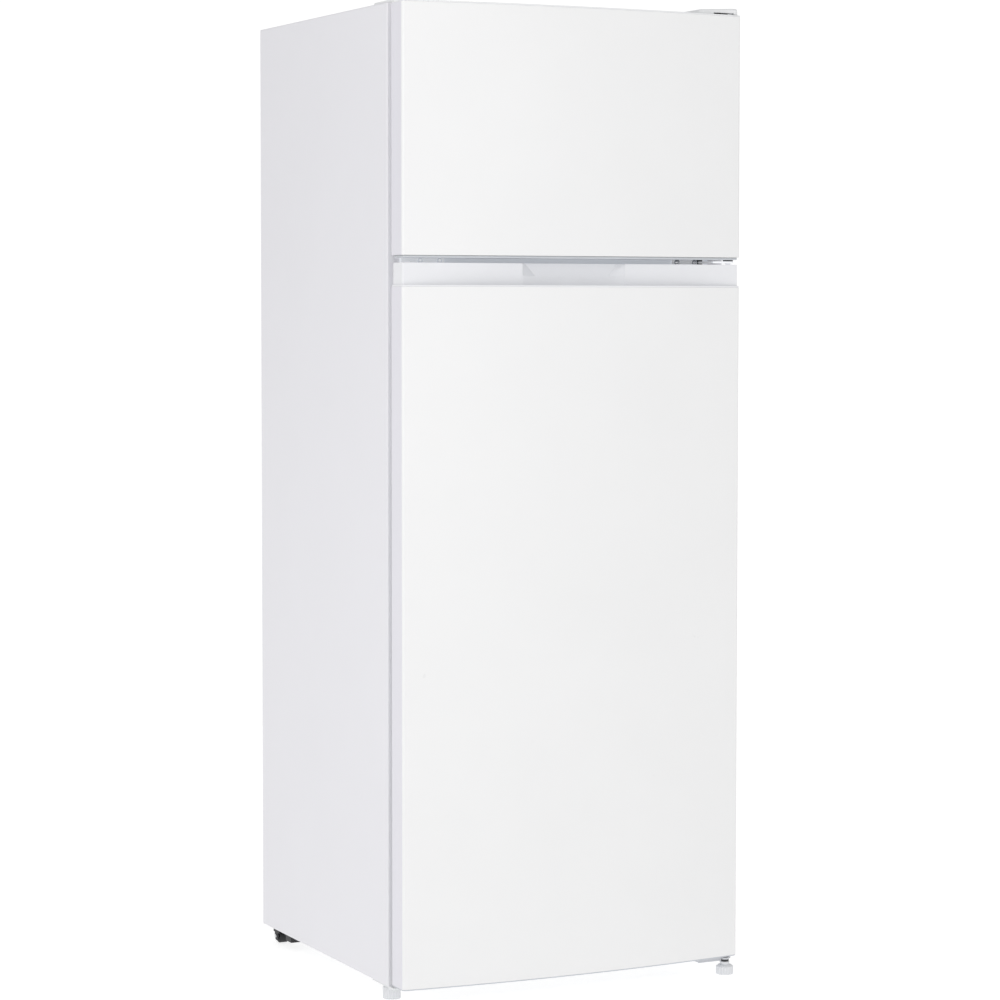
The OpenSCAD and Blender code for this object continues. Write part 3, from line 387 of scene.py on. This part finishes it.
wrap_low, wrap_high = corners("outer_wrap")
skin_low, skin_high = corners("fridge_door_skin")
HALF = wrap_high[0]
FACE_Y = wrap_low[1]                       # front plane of the cabinet
DOOR_REAR = skin_high[1]
DOOR_FRONT = skin_low[1]                   # foremost point of the bow
SHEET = 0.8                                # steel of cabinet and doors
RETURN = 25                                # width of the wrap's returns along the front
BOW = 16                                   # depth of the doors' bow
FOLD = 5                                   # radius of the doors' front upright edges
HEM = 12                                   # width of the doors' rear hems
BOW_R = (HALF ** 2 + BOW ** 2) / (2 * BOW)
BOW_Y = DOOR_FRONT + BOW_R                 # centre line of the bow
PIVOT = (260, -249)                        # hinge line
CAP_TOP = 1425.0                           # top of the freezer door's end plate
CAP_POCKET = 14                            # from the foam's top to the end plate's underside

BAND_TOP = 1059.1
BAND_FRONT = -258.6
BAND_FOOT = skin_high[2] + 2.6             # top of the ledge under the band
RECESS_HALF = 84                           # half the width of the finger recess at the front
RECESS_DEPTH = 9.4
CREASE_RISE = 13.5                         # height of the recess's crease over the band's foot

RIDGE_HALF = 225                           # half the width of the door panels' ridges
RIDGE_WIDTH = 20
RIDGE_Z = {"freezer_door_liner": (1095.5, 1368.6), "fridge_door_liner": (92.3, 1029.5)}
TRAY_WALL = 2.6
TRAY_H = {"bottle_rack": 85, "door_balconies": 70, "freezer_balconies": 55}

IN_HALF = 233                              # half the inner width of both compartments
IN_BACK = 233                              # y of their back walls
FZ_Z = (1088.5, 1375.6)                    # floor and ceiling of the freezer
FR_Z = (85.3, 1036.5)                      # floor and ceiling of the fridge
STEP = (78, 265.3)                         # y and z of the step over the machine compartment
FORMED = 1.5                               # thickness of the formed liners
FZ_SHELF = 1228.5                          # level of the freezer's shelf
SHELF_Z = (475.29, 684.56)                 # undersides of the glass shelves
SHELF_Y0 = -85
PANE = 4                                   # thickness of the glass shelves
COVER_Z = 265.5                            # underside of the pane over the drawer
COVER_Y0 = -98
DRAWER_HALF = 202
DRAWER_Y0 = -90
DRAWER_TRAVEL = 90
DRAWER_BACK_GAP = 8                        # between the closed drawer and the step
LUG = 6                                    # depth of the drawer's rear lugs
PLAY = 0.2                                 # between lug and stop at full travel
RAIL_X = 155                               # middle of the rails under the drawer


# ---------- Doors ----------

def bent_outline(name, z, rise, inset, hem):
    """Bends a strip round a door's plan: hem, side, corner, bowed front, corner, side, hem.

    Without a rise it stays a line, and without a hem it starts at the rear corner."""
    corner_x = HALF - FOLD
    corner_y = BOW_Y - math.sqrt((BOW_R - FOLD) ** 2 - corner_x ** 2)
    side = HALF - inset
    rear = DOOR_REAR - inset
    lean = math.asin(corner_x / (BOW_R - FOLD))
    deselect()
    start = Vector((-side + hem, rear, z)) * MM
    bpy.ops.mesh.primitive_plane_add(size=0.01, location=start)
    piece = settle(name)
    edit(piece, "VERT")
    bpy.ops.mesh.select_all(action="SELECT")
    bpy.ops.mesh.merge(type="CENTER")
    if rise:
        bpy.ops.mesh.extrude_region_move(TRANSFORM_OT_translate={"value": (0, 0, rise * MM)})
        bpy.ops.mesh.select_all(action="SELECT")
        bpy.ops.mesh.select_mode(type="EDGE")
        bpy.ops.mesh.select_all(action="SELECT")

    def push(x, y):
        bpy.ops.mesh.extrude_region_move(TRANSFORM_OT_translate={"value": (x * MM, y * MM, 0)})

    def bend(x, y, angle, steps):
        bpy.ops.mesh.spin(steps=steps, angle=angle, center=(x * MM, y * MM, 0), axis=(0, 0, 1),
                          use_auto_merge=False)

    if hem:
        push(-hem, 0)
    push(0, corner_y - rear)
    bend(-corner_x, corner_y, -(math.pi / 2 - lean), 8)
    bend(0, BOW_Y, -2 * lean, 64)
    bend(corner_x, corner_y, -(math.pi / 2 - lean), 8)
    push(0, rear - corner_y)
    if hem:
        push(-hem, 0)
    bpy.ops.mesh.select_all(action="SELECT")
    bpy.ops.mesh.remove_doubles(threshold=0.000002)
    bpy.ops.object.mode_set(mode="OBJECT")
    return piece


def door_skin(node, name):
    """Folded steel skin of a door; its narrow sides get a darker copy of the enamel as painted shade."""
    low, high = corners(node)
    piece = bent_outline(name, low[2], high[2] - low[2], SHEET / 2, HEM)
    modify(piece, "SOLIDIFY", thickness=SHEET * MM, offset=0)
    face_outwards(piece)
    smooth(piece, 50)
    fit(piece, node)
    # the narrow sides take the darker copy of the enamel, painted shade
    face_finish(piece, "door_side_painted_shade", lambda c, n: abs(n.x) > 0.9 and abs(c.x) > HALF - 1)


def cap_plate(name, z0, z1, inset, soft=0.8):
    """A solid plate of the door's plan."""
    piece = bent_outline(name, z0, 0, inset, 0)
    edit(piece, "EDGE")
    bpy.ops.mesh.select_all(action="SELECT")
    bpy.ops.mesh.edge_face_add()
    bpy.ops.mesh.extrude_region_move(TRANSFORM_OT_translate={"value": (0, 0, (z1 - z0) * MM)})
    face_outwards(piece)
    return ease(piece, soft, 3, 60)


def hole_plug(name, z, height):
    """Low round plug over the pin hole for the other door swing."""
    x, y = PIVOT
    piece = rod(name, (-x, y, z - 0.5), height + 0.5, 6.5, sides=48)
    return ease(piece, 0.7, 3, 40)


def door_caps():
    """End plates of both doors; the band is the fridge door's upper end."""
    cap_high = corners("freezer_door_top_cap")[1]
    plate_low = corners("freezer_door_foam")[1][2] + CAP_POCKET
    top = cap_plate("freezer_top_plate", plate_low, CAP_TOP, 0.3)
    plug = hole_plug("top_plug", CAP_TOP, cap_high[2] - CAP_TOP)
    fit(join("freezer_door_top_end", [top, plug]), "freezer_door_top_cap")

    low = corners("freezer_door_bottom_cap")[0]
    under = cap_plate("freezer_door_bottom_end", low[2], corners("freezer_door_skin")[0][2], 3)
    fit(under, "freezer_door_bottom_cap")
    low = corners("fridge_door_bottom_cap")[0]
    foot = cap_plate("fridge_door_bottom_end", low[2], skin_low[2], 0.6)
    fit(foot, "fridge_door_bottom_cap")


def moved_corners(piece, rule):
    """Gives each corner of a block a new place, worked out from the side it is on."""
    edit(piece, "VERT")
    shape = bmesh.from_edit_mesh(piece.data)
    middle = sum((v.co for v in shape.verts), Vector()) / len(shape.verts)
    for v in shape.verts:
        side = [1 if v.co[i] > middle[i] else -1 for i in range(3)]
        v.co = Vector(rule(*side)) * MM
    bmesh.update_edit_mesh(piece.data)
    face_outwards(piece)
    return piece


def handle_band():
    """Band over the fridge door with a finger recess sunk in its middle."""
    rear = corners("handle_trim")[1][1] - 0.1
    front, foot, top, half = BAND_FRONT, BAND_FOOT, BAND_TOP, RECESS_HALF
    band = block("handle_band", (-HALF + 2, front, foot - 1), (HALF - 2, rear, top))
    round_edges(band, 2.6, 4, lambda a, b: along(2)(a, b) and near(a.y, front))
    ledge = cap_plate("band_ledge", skin_high[2], foot, 0.3, 0.5)
    cut(ledge, block("behind", (-HALF - 5, rear, foot - 10), (HALF + 5, DOOR_REAR + 5, foot + 10)))

    # two hollows meet in a crease: the upper one is nearly upright, the lower one slopes forward
    crease = foot + CREASE_RISE
    upper = moved_corners(block("upper_hollow", (-1, -1, -1), (1, 1, 1)), lambda x, y, z: (
        x * (half if y < 0 else half - (7.5 if z > 0 else 25)),
        front - 0.5 if y < 0 else front + RECESS_DEPTH - (0 if z > 0 else 0.4),
        top + 0.5 if z > 0 else crease))
    lower = moved_corners(block("lower_hollow", (-1, -1, -1), (1, 1, 1)), lambda x, y, z: (
        x * (half if y < 0 else half - (25 if z > 0 else 30)),
        front - 0.5 if y < 0 else front + (RECESS_DEPTH - 0.4 if z > 0 else 6.5),
        crease if z > 0 else foot))
    cut(band, upper, lower)
    ease(band, 0.8, 3, 18)
    plug = hole_plug("band_plug", top, 1.6)
    piece = fit(join("handle_band", [band, ledge, plug]), "handle_trim")
    # the band's finish glows faintly, painted light
    piece.data.materials[0] = FINISHES["band_painted_glow"]


def frame_ring(name, half, z0, z1, width, y0, y1, corner=4, soft=1.0):
    """A rectangular frame standing across the door, its corners rounded."""
    ring = block(name, (-half, y0, z0), (half, y1, z1))
    round_edges(ring, corner, 5, along(1))
    hole = block("inside", (-half + width, y0 - 5, z0 + width), (half - width, y1 + 5, z1 - width))
    round_edges(hole, max(1, corner - 1), 4, along(1))
    cut(ring, hole)
    return ease(ring, soft, 3, 40)


def door_seal(node, name):
    """Seal with a foot in the door, a pleated neck and a soft bulb."""
    low, high = corners(node)
    half, z0, z1 = high[0], low[2], high[2]
    front, face = low[1], high[1]

    def ring(part, margin, width, y0, y1, corner, soft):
        return frame_ring(part, half - margin, z0 + margin, z1 - margin, width, y0, y1, corner, soft)

    parts = [ring("seal_foot", 4, 8, front, front + 3.2, 3, 0.5),
             ring("seal_pleat_1", 2.5, 11, front + 2.8, front + 4.6, 4, 0.8),
             ring("seal_neck", 4.5, 7, front + 4, front + 7, 3, 0.3),
             ring("seal_bulb", 0, 16, face - 8, face, 5, 2.6)]
    fit(join(name, parts), node)


def door_panel(node, name):
    """Formed inner panel: flat margin, raised ridge with draught, sunk field."""
    low, high = corners(node)
    plate = block(name, low, (high[0], low[1] + FORMED, high[2]))
    round_edges(plate, 6, 4, along(1))
    half, face = RIDGE_HALF, low[1] + 1
    z0, z1 = RIDGE_Z[node]
    ridge = block("ridge", (-half, face, z0), (half, high[1], z1))
    pick_faces(ridge, lambda c, n: n.y > 0.9)
    bpy.ops.transform.resize(value=((half - 2) / half, 1, (z1 - z0 - 4) / (z1 - z0)))
    bpy.ops.object.mode_set(mode="OBJECT")
    field = block("field", (-half + RIDGE_WIDTH, face + 0.4, z0 + RIDGE_WIDTH),
                  (half - RIDGE_WIDTH, high[1] + 4, z1 - RIDGE_WIDTH))
    cut(ridge, field)
    modify(ridge, "BEVEL", width=5 * MM, segments=5, limit_method="ANGLE", angle_limit=math.radians(50))
    smooth(ridge, 50)
    ease(plate, 0.5, 2, 40)
    fit(join(name, [plate, ridge]), node)


def door_filling(node, name):
    """Foam slab of the door with a low ring that fills the panel's ridge."""
    foam_low, foam_high = corners(node)
    liner = node.replace("foam", "liner")
    panel_y = corners(liner)[0][1]
    z0, z1 = RIDGE_Z[liner]
    slab = from_cad(node, name, 0)
    cut(slab, block("all_but_slab", (-HALF, panel_y - 0.2, foam_low[2] - 5), (HALF, 0, foam_high[2] + 5)))
    half, face = RIDGE_HALF - 6, panel_y - 1
    ring = block("ring", (-half, face, z0 + 6), (half, foam_high[1] - 8, z1 - 6))
    cut(ring, block("field", (-half + 8, face - 5, z0 + 14), (half - 8, foam_high[1], z1 - 14)))
    weld(slab, ring)
    fit(smooth(slab), node)


def tray(name, low, high, wall, corner=9):
    """An open-topped tray: a rounded block with its top sunk in."""
    body = block(name, low, high)
    round_edges(body, corner, 6, along(2))
    pick_edges(body, lambda a, b: near(a.z, low[2], 0.05) and near(b.z, low[2], 0.05))
    round_picked(3, 3)
    pick_faces(body, lambda c, n: n.z > 0.9)
    bpy.ops.mesh.inset(thickness=wall * MM, depth=0)
    sink = high[2] - low[2] - wall
    bpy.ops.mesh.extrude_region_move(TRANSFORM_OT_translate={"value": (0, 0, -sink * MM)})
    bpy.ops.object.mode_set(mode="OBJECT")
    ease(body, 0.6, 2, 50)
    return body


def door_trays():
    """Bottle tray and balconies; a node with two of them has one at its foot and one at its top."""
    names = {"bottle_rack": ["bottle_tray"], "door_balconies": ["lower_balcony", "upper_balcony"],
             "freezer_balconies": ["lower_freezer_tray", "upper_freezer_tray"]}
    for node, tray_names in names.items():
        low, high = corners(node)
        tall = TRAY_H[node]
        floors = [low[2], high[2] - tall]
        bodies = [tray(name, (low[0], low[1], z), (high[0], high[1], z + tall), TRAY_WALL)
                  for name, z in zip(tray_names, floors)]
        for body in bodies:
            fit(body, node)


# ---------- Cabinet ----------

def steel_wrap():
    """Folded sheet: two sides and the top, with returns along the front."""
    low, high = wrap_low, wrap_high
    wrap = block("cabinet_sheet", low, high)

    def folded(a, b):
        upright = along(2)(a, b) and near(a.y, low[1])
        roof_side = along(1)(a, b) and near(a.z, high[2])
        roof_front = along(0)(a, b) and near(a.z, high[2]) and near(a.y, low[1])
        return upright or roof_side or roof_front

    round_edges(wrap, 2.2, 4, folded)
    inner = block("inner_room", (low[0] + SHEET, low[1] + SHEET, low[2] - 5),
                  (high[0] - SHEET, high[1] + 5, high[2] - SHEET))
    mouth = block("mouth", (low[0] + RETURN, low[1] - 5, low[2] - 5),
                  (high[0] - RETURN, low[1] + 5, high[2] - RETURN))
    cut(wrap, inner, mouth)
    smooth(wrap)
    fit(wrap, "outer_wrap")


def back_sheet(grooves=5, screws=7):
    """Flat back with shallow pressed grooves that stiffen it and seats for its screws."""
    low, high = corners("back_panel")
    sheet = block("back_sheet", low, high)
    span = high[2] - low[2]
    for i in range(grooves):
        z = low[2] + span * (i + 0.5) / grooves
        groove = block("groove", (low[0] + 60, high[1] - 0.5, z - 5), (high[0] - 60, high[1] + 5, z + 5))
        round_edges(groove, 4.9, 5, along(1))
        cut(sheet, groove)
    for x in (low[0] + 12, high[0] - 12):
        for i in range(screws):
            z = low[2] + 20 + (span - 40) * i / (screws - 1)
            cut(sheet, rod("screw_seat", (x, high[1] - 0.4, z), 5, 3.6, "Y", 20))
    ease(sheet, 0.25, 2, 40)
    fit(sheet, "back_panel")


def hinge_cover():
    """Low lid over the top hinge, highest at its front outer corner, rounded and hollow."""
    low, high = corners("top_hinge_cover")

    def crown(x, y, z):
        rise = high[2] - low[2] if x > 0 and y < 0 else 6 if x < 0 else 8
        return (low[0] if x < 0 else high[0], low[1] if y < 0 else high[1],
                low[2] if z < 0 else low[2] + rise)

    lid = moved_corners(block("top_hinge_lid", low, high), crown)
    round_edges(lid, 8, 7, lambda a, b: near(a.x, b.x) and near(a.y, b.y))
    pick_edges(lid, lambda a, b: min(a.z, b.z) > low[2] + 5.5)
    round_picked(3.2, 5)
    cut(lid, block("hollow_1", (low[0] + 6, FACE_Y - 1, low[2] - 5),
                   (high[0] - 2.6, high[1] - 6, low[2] + 5)),
        block("hollow_2", (low[0] + 32, low[1] + 2.6, low[2] - 5), (high[0] - 2.6, FACE_Y, low[2] + 4)),
        block("front_gap", (low[0] + 24, low[1] - 5, low[2] - 5), (high[0] - 9, FACE_Y, low[2] + 2)))
    smooth(lid, 50)
    fit(lid, "top_hinge_cover")


# ---------- Inside ----------

def liner_shell(node, name, floor, ceiling, step=None):
    """Formed inner box with rounded corners and a flange round its mouth."""
    low, high = corners(node)
    x, back, t = IN_HALF, IN_BACK, FORMED
    shell = block(name, (-x - t, low[1], floor - t), (x + t, back + t, ceiling + t))
    weld(shell, block("flange", low, (high[0], low[1] + t, high[2])))
    room = block("room", (-x, low[1] - 30, floor), (x, back, ceiling))
    if step:
        y, z = step
        cut(shell, block("step_outside", (-x - 5, y + t, floor - 30), (x + 5, back + 30, z - t)))
        cut(room, block("step_inside", (-x - 5, y, floor - 30), (x + 5, back + 30, z)))
    modify(room, "BEVEL", width=9 * MM, segments=5, limit_method="ANGLE", angle_limit=math.radians(60))
    cut(shell, room)

    def rim(a, b):
        in_front = near(a.y, low[1], 0.05) and near(b.y, low[1], 0.05)
        inside_x = max(abs(a.x), abs(b.x)) < x + 1
        return in_front and inside_x and floor - 1 < min(a.z, b.z) and max(a.z, b.z) < ceiling + 1

    pick_edges(shell, rim)
    round_picked(1.2, 3)
    return smooth(shell)


def wall_rib(x, y0, y1, z):
    """Moulded ledge on a side wall; x is the wall's face."""
    inward = -1 if x > 0 else 1
    x0, x1 = sorted((x - inward * 0.8, x + inward * 8))
    return ease(block("rib", (x0, y0, z), (x1, y1, z + 6)), 1.6, 3, 40)


def liners():
    """Inner boxes with the ledges, drawer stops and rails moulded in them."""
    below = 6.2                            # from a pane's underside to its ledge's underside
    room = liner_shell("freezer_liner", "freezer_room", *FZ_Z)
    ribs = [wall_rib(side * IN_HALF, FACE_Y + 114, IN_BACK - 20, FZ_SHELF - 8) for side in (-1, 1)]
    fit(join("freezer_room", [room] + ribs), "freezer_liner")

    room = liner_shell("fridge_liner", "fridge_room", *FR_Z, STEP)
    ribs = []
    stop_y = STEP[0] - DRAWER_BACK_GAP - LUG - DRAWER_TRAVEL - PLAY
    for side in (-1, 1):
        for z in SHELF_Z:
            ribs.append(wall_rib(side * IN_HALF, SHELF_Y0, IN_BACK - 20, z - below))
        ribs.append(wall_rib(side * IN_HALF, COVER_Y0, STEP[0] + 1, COVER_Z - below))
        x0, x1 = sorted((side * IN_HALF, side * (DRAWER_HALF + 1.2)))
        ribs.append(ease(block("stop", (x0, stop_y - 8, COVER_Z - 18), (x1, stop_y, COVER_Z - 6)), 1))
        ribs.append(ease(block("rail", (side * RAIL_X - 6, DRAWER_Y0 + 4, FR_Z[0] - 0.5),
                               (side * RAIL_X + 6, STEP[0] + 0.5, FR_Z[0] + 5.8)), 1.5))
    # upright channels pressed into the back wall for the cold air
    for x in (-60, 0, 60):
        bar = block("air_channel", (x - 9, IN_BACK - 2.5, FR_Z[0] + 260),
                    (x + 9, IN_BACK + 0.5, FR_Z[1] - 60))
        ribs.append(ease(bar, 2.2, 3, 40))
    fit(join("fridge_room", [room] + ribs), "fridge_liner")


def pane(name, low, high):
    """A pane of glass with rounded corners and eased edges."""
    glass = round_edges(block(name, low, high), 4, 4, along(2))
    return ease(glass, 0.6, 2, 40)


def shelves():
    """Two glass shelves and the pane that covers the drawer."""
    low, high = corners("glass_shelves")
    panes = [pane("pane", (low[0], low[1], z), (high[0], high[1], z + PANE)) for z in SHELF_Z]
    fit(join("shelf_panes", panes), "glass_shelves")
    fit(pane("crisper_pane", *corners("crisper_cover")), "crisper_cover")


def crisper():
    """Vegetable drawer with rounded corners, a finger lip, rear lugs and ribs down its front."""
    low, high = corners("crisper_drawer")
    body = tray("crisper_box", (-DRAWER_HALF, DRAWER_Y0, low[2]), (DRAWER_HALF, high[1], high[2]),
                TRAY_WALL, 12)
    lip = block("finger_lip", (-70, low[1], high[2] - 16), (70, DRAWER_Y0 + 1, high[2] - 12))
    round_edges(lip, 5, 5, lambda a, b: along(2)(a, b) and near(a.y, low[1]))
    ease(lip, 1, 3)
    lug_x = DRAWER_HALF + 4
    lugs = [ease(block("lug", (side * lug_x - 4.5, high[1] - LUG, high[2] - 8),
                       (side * lug_x + 4, high[1], high[2])), 1) for side in (-1, 1)]
    ribs = []
    for x in range(-150, 151, 50):
        rib = block("front_rib", (x - 2, DRAWER_Y0 - 0.9, low[2] + 18),
                    (x + 2, DRAWER_Y0 + 0.5, high[2] - 30))
        ribs.append(ease(rib, 0.7, 2))
    fit(join("crisper_box", [body, lip] + lugs + ribs), "crisper_drawer")


def thermostat():
    """Ceiling housing with a lamp window, air slots and a dial with its marks."""
    low, high = corners("thermostat_housing")
    box = block("thermostat_box", low, high)
    round_edges(box, 8, 5, lambda a, b: (along(2)(a, b) and near(a.y, low[1]))
                or (along(1)(a, b) and near(a.z, low[2])))
    cut(box, block("hollow", [v + 2 for v in low], [v - 2 for v in high]),
        block("window", (low[0] + 14, low[1] - 1, low[2] + 8), (low[0] + 74, low[1] + 3, high[2] - 8)))
    for i in range(7):
        x = -4 + i * 9
        cut(box, block("slot", (x, low[1] + 55, low[2] - 1), (x + 4, low[1] + 100, low[2] + 3)))
    ease(box, 0.5, 2, 40)

    dial_low, dial_high = corners("thermostat_knob")
    dial_x, dial_z = (dial_low[0] + dial_high[0]) / 2, (dial_low[2] + dial_high[2]) / 2
    step = 0.6                             # radians between marks
    marks = []
    for i in range(-3, 4):
        x, z = dial_x + 19 * math.sin(i * step), dial_z + 17.4 * math.cos(i * step)
        marks.append(rod("mark", (x, low[1] - 0.05, z), 0.6, 0.9, "Y", 16))
    fit(box, "thermostat_housing")
    fit(join("dial_marks", marks), "thermostat_housing", slot="dark_plastic", stands_for=False)
    fit(from_cad("thermostat_knob", "thermostat_dial_knob", 0.8, 3), "thermostat_knob")


# ---------- Small parts, kept in their CAD shape with eased edges ----------

EASED = {
    "base_plate": ("base_sheet", 0.25), "mid_beam": ("mid_rail_painted_glow", 0.3),
    "compressor_tray": ("compressor_shelf", 0.4), "compressor": ("compressor_pot", 0.6),
    "compressor_grommets": ("compressor_feet", 1.0), "relay_box": ("relay_cover", 2.0),
    "drip_tray": ("melt_water_dish", 0.7), "filter_drier": ("drier", 0.6),
    "drain_tube": ("drain_pipe", 0.3), "cord_gland": ("cable_bush", 1.2),
    "roller_brackets": ("roller_forks", 0.5), "roller_axles": ("roller_pins", 0.5),
    "foot_bracket_left": ("left_foot_plate", 0.5), "bottom_hinge": ("bottom_hinge_plate", 0.6),
    "bottom_hinge_pin": ("bottom_hinge_bush", 0.4), "mid_hinge": ("mid_hinge_plate", 0.6),
    "top_hinge": ("top_hinge_plate", 0.5), "hinge_screws": ("screws", 0.15),
    "mid_blank_plate": ("blank_plate", 0.8), "mid_blank_plugs": ("blank_plugs", 0.25),
    "top_left_cover": ("left_hole_cover", 0.4), "lamp_lens": ("lamp_window", 0.4),
    "shelf_trims": ("shelf_edges", 1.0), "foot_left_stem": ("left_foot_screw", 0.4),
    "foot_left_knob": ("left_foot_wheel", 0.5), "foot_right_stem": ("right_foot_screw", 0.4),
    "foot_right_knob": ("right_foot_wheel", 0.5), "roller_left": ("left_roller_wheel", 0.5),
    "roller_right": ("right_roller_wheel", 0.5),
}

# pieces whose finish differs a little from their slot's own: the mid rail, blank plate, its plugs and the mid
# hinge plate glow with painted light, and the bottom hinge plate is darkened with painted shade
SPECIAL = {"mid_rail_painted_glow": "mid_rail_painted_glow", "blank_plate": "blank_painted_glow", "mid_hinge_plate": "mid_bracket_painted_glow",
           "blank_plugs": "mid_rail_painted_glow", "screws": "chrome", "bottom_hinge_plate": "hinge_painted_shade",
           "left_foot_wheel": "knob_grey", "right_foot_wheel": "knob_grey"}


def eased_parts():
    for node, (name, width) in EASED.items():
        piece = fit(from_cad(node, name, width), node)
        if name in SPECIAL:
            piece.data.materials[0] = FINISHES[SPECIAL[name]]
    face_finish(bpy.data.objects["base_sheet"], "painted_steel",
                lambda c, n: n.y < -0.7 and c.y < FACE_Y + 6)


def added(piece, node, slot, finish_name=None):
    """A small piece beside the node's own; it stands for no node of its own."""
    fit(piece, node, slot=slot, stands_for=False)
    if finish_name:
        piece.data.materials[0] = FINISHES[finish_name]


def hinge_details():
    """Sleeve at the bottom hinge, painted glints on the plug middles, nut and a small black block at the mid
    hinge.
    """
    bush_low, bush_high = corners("bottom_hinge_pin")
    gap = corners("fridge_door_bottom_cap")[0][2] - bush_low[2]
    sleeve = rod("bolt_sleeve", (*PIVOT, bush_low[2] + 0.6), gap - 1.2,
                 bush_high[0] - PIVOT[0] + 0.9, sides=48)
    plug_low, plug_high = corners("mid_blank_plugs")
    slot_z = (plug_low[2] + plug_high[2]) / 2
    # small glowing white rods in the plugs' middles, painted glints
    painted_glints = [rod("painted_glint", (x, plug_low[1] - 0.3, slot_z + 0.4), 1.6, 1.5, "Y", 20)
             for x in (plug_low[0] + 4.2, plug_high[0] - 4.2)]
    added(join("plug_painted_glint_dots", painted_glints), "mid_blank_plugs", "white_plastic", "plug_painted_glint")
    nut = rod("mid_hinge_nut", (*PIVOT, slot_z + 1.4), 2.4, 7.5, sides=6)
    added(ease(nut, 0.4), "mid_hinge", "dark_plastic", "bolt_black")
    # a small black block beside the mid hinge arm
    pad = block("mid_hinge_black_block", (226.5, FACE_Y - 3.2, 1058.2), (237, FACE_Y - 2.4, 1066.8))
    added(ease(pad, 0.3), "mid_hinge", "dark_plastic")
    added(ease(sleeve, 0.5), "bottom_hinge_pin", "dark_plastic", "bolt_black")


door_skin("freezer_door_skin", "freezer_door_sheet")
door_skin("fridge_door_skin", "fridge_door_sheet")
door_caps()
handle_band()
for door in ("freezer", "fridge"):
    door_seal(door + "_door_gasket", door + "_door_seal")
for door in ("freezer", "fridge"):
    door_panel(door + "_door_liner", door + "_door_panel")
for door in ("freezer", "fridge"):
    door_filling(door + "_door_foam", door + "_door_filling")
door_trays()
steel_wrap()
back_sheet()
hinge_cover()
liners()
shelves()
crisper()
thermostat()
eased_parts()
hinge_details()


# ---------- Room, light and camera ----------

AMBIENT = 0.6                              # light from the room on the object
BACKDROP = 1.05                            # white that the camera sees behind it
FLOOR_GLOW = 0.77                          # keeps the floor as white as the backdrop
LAMPS = [
    # name, place, aimed at, width and height, watts
    ("key", (-1.6, -2.4, 2.0), (0, 0, 1.0), (0.8, 1.6), 9.5),
    ("side", (-1.6, -1.3, 0.95), (-0.2, -0.2, 0.75), (0.5, 2.0), 3.4),
    ("front", (0.6, -3.6, 1.4), (0, 0, 0.8), (1.6, 2.2), 5),
    ("back", (0.5, 3.2, 2.0), (0, 0, 0.8), (2.4, 2.4), 4),
]
CAMERA_PLACE = (-1.98935, -4.11085, 1.00257)
LENS, SENSOR, SHIFT = 108.24, 36, -0.04
YAW, PITCH, ROLL = 25.897, 2.992, 0.042    # degrees


def white_room():
    """World that lights the object evenly and shows the camera a whiter backdrop."""
    world = bpy.data.worlds.new("studio")
    world.use_nodes = True
    bpy.context.scene.world = world
    tree = world.node_tree
    sky = tree.nodes["Background"]
    sky.inputs["Color"].default_value = (1, 1, 1, 1)
    sky.inputs["Strength"].default_value = AMBIENT
    backdrop = tree.nodes.new("ShaderNodeBackground")
    backdrop.inputs["Color"].default_value = (1, 1, 1, 1)
    backdrop.inputs["Strength"].default_value = BACKDROP
    path = tree.nodes.new("ShaderNodeLightPath")
    mix = tree.nodes.new("ShaderNodeMixShader")
    tree.links.new(path.outputs["Is Camera Ray"], mix.inputs["Fac"])
    tree.links.new(sky.outputs["Background"], mix.inputs[1])
    tree.links.new(backdrop.outputs["Background"], mix.inputs[2])
    tree.links.new(mix.outputs["Shader"], tree.nodes["World Output"].inputs["Surface"])


def white_floor():
    deselect()
    bpy.ops.mesh.primitive_plane_add(size=60, location=(0, 0, 0))
    floor = settle("floor")
    floor.data.materials.append(finish("floor_paper", (0.42, 0.42, 0.42), 0.8, tone=0.003, grain=0.02,
                                       grain_scale=200, Emission_Color=(1, 1, 1, 1),
                                       Emission_Strength=FLOOR_GLOW))


def lamps():
    for name, place, aim, size, power in LAMPS:
        deselect()
        bpy.ops.object.light_add(type="AREA", location=place)
        lamp = bpy.context.active_object
        lamp.name = name
        lamp.data.shape = "RECTANGLE"
        lamp.data.size, lamp.data.size_y = size
        lamp.data.energy = power
        lamp.rotation_euler = (Vector(aim) - Vector(place)).to_track_quat("-Z", "Y").to_euler()
        lamp.visible_camera = False


def camera():
    deselect()
    bpy.ops.object.camera_add(location=CAMERA_PLACE)
    eye = bpy.context.active_object
    eye.name = "camera"
    eye.data.lens = LENS
    eye.data.sensor_width = SENSOR
    eye.data.shift_y = SHIFT
    eye.data.clip_end = 100
    eye.rotation_mode = "XYZ"
    aim = Euler((math.radians(90 - PITCH), 0, math.radians(-YAW)), "XYZ").to_matrix()
    roll = Matrix.Rotation(math.radians(ROLL), 3, "Z")
    eye.rotation_euler = (aim @ roll).to_euler("XYZ")
    bpy.context.scene.camera = eye


bpy.context.scene.view_settings.view_transform = "Standard"
white_room()
white_floor()
lamps()
camera()
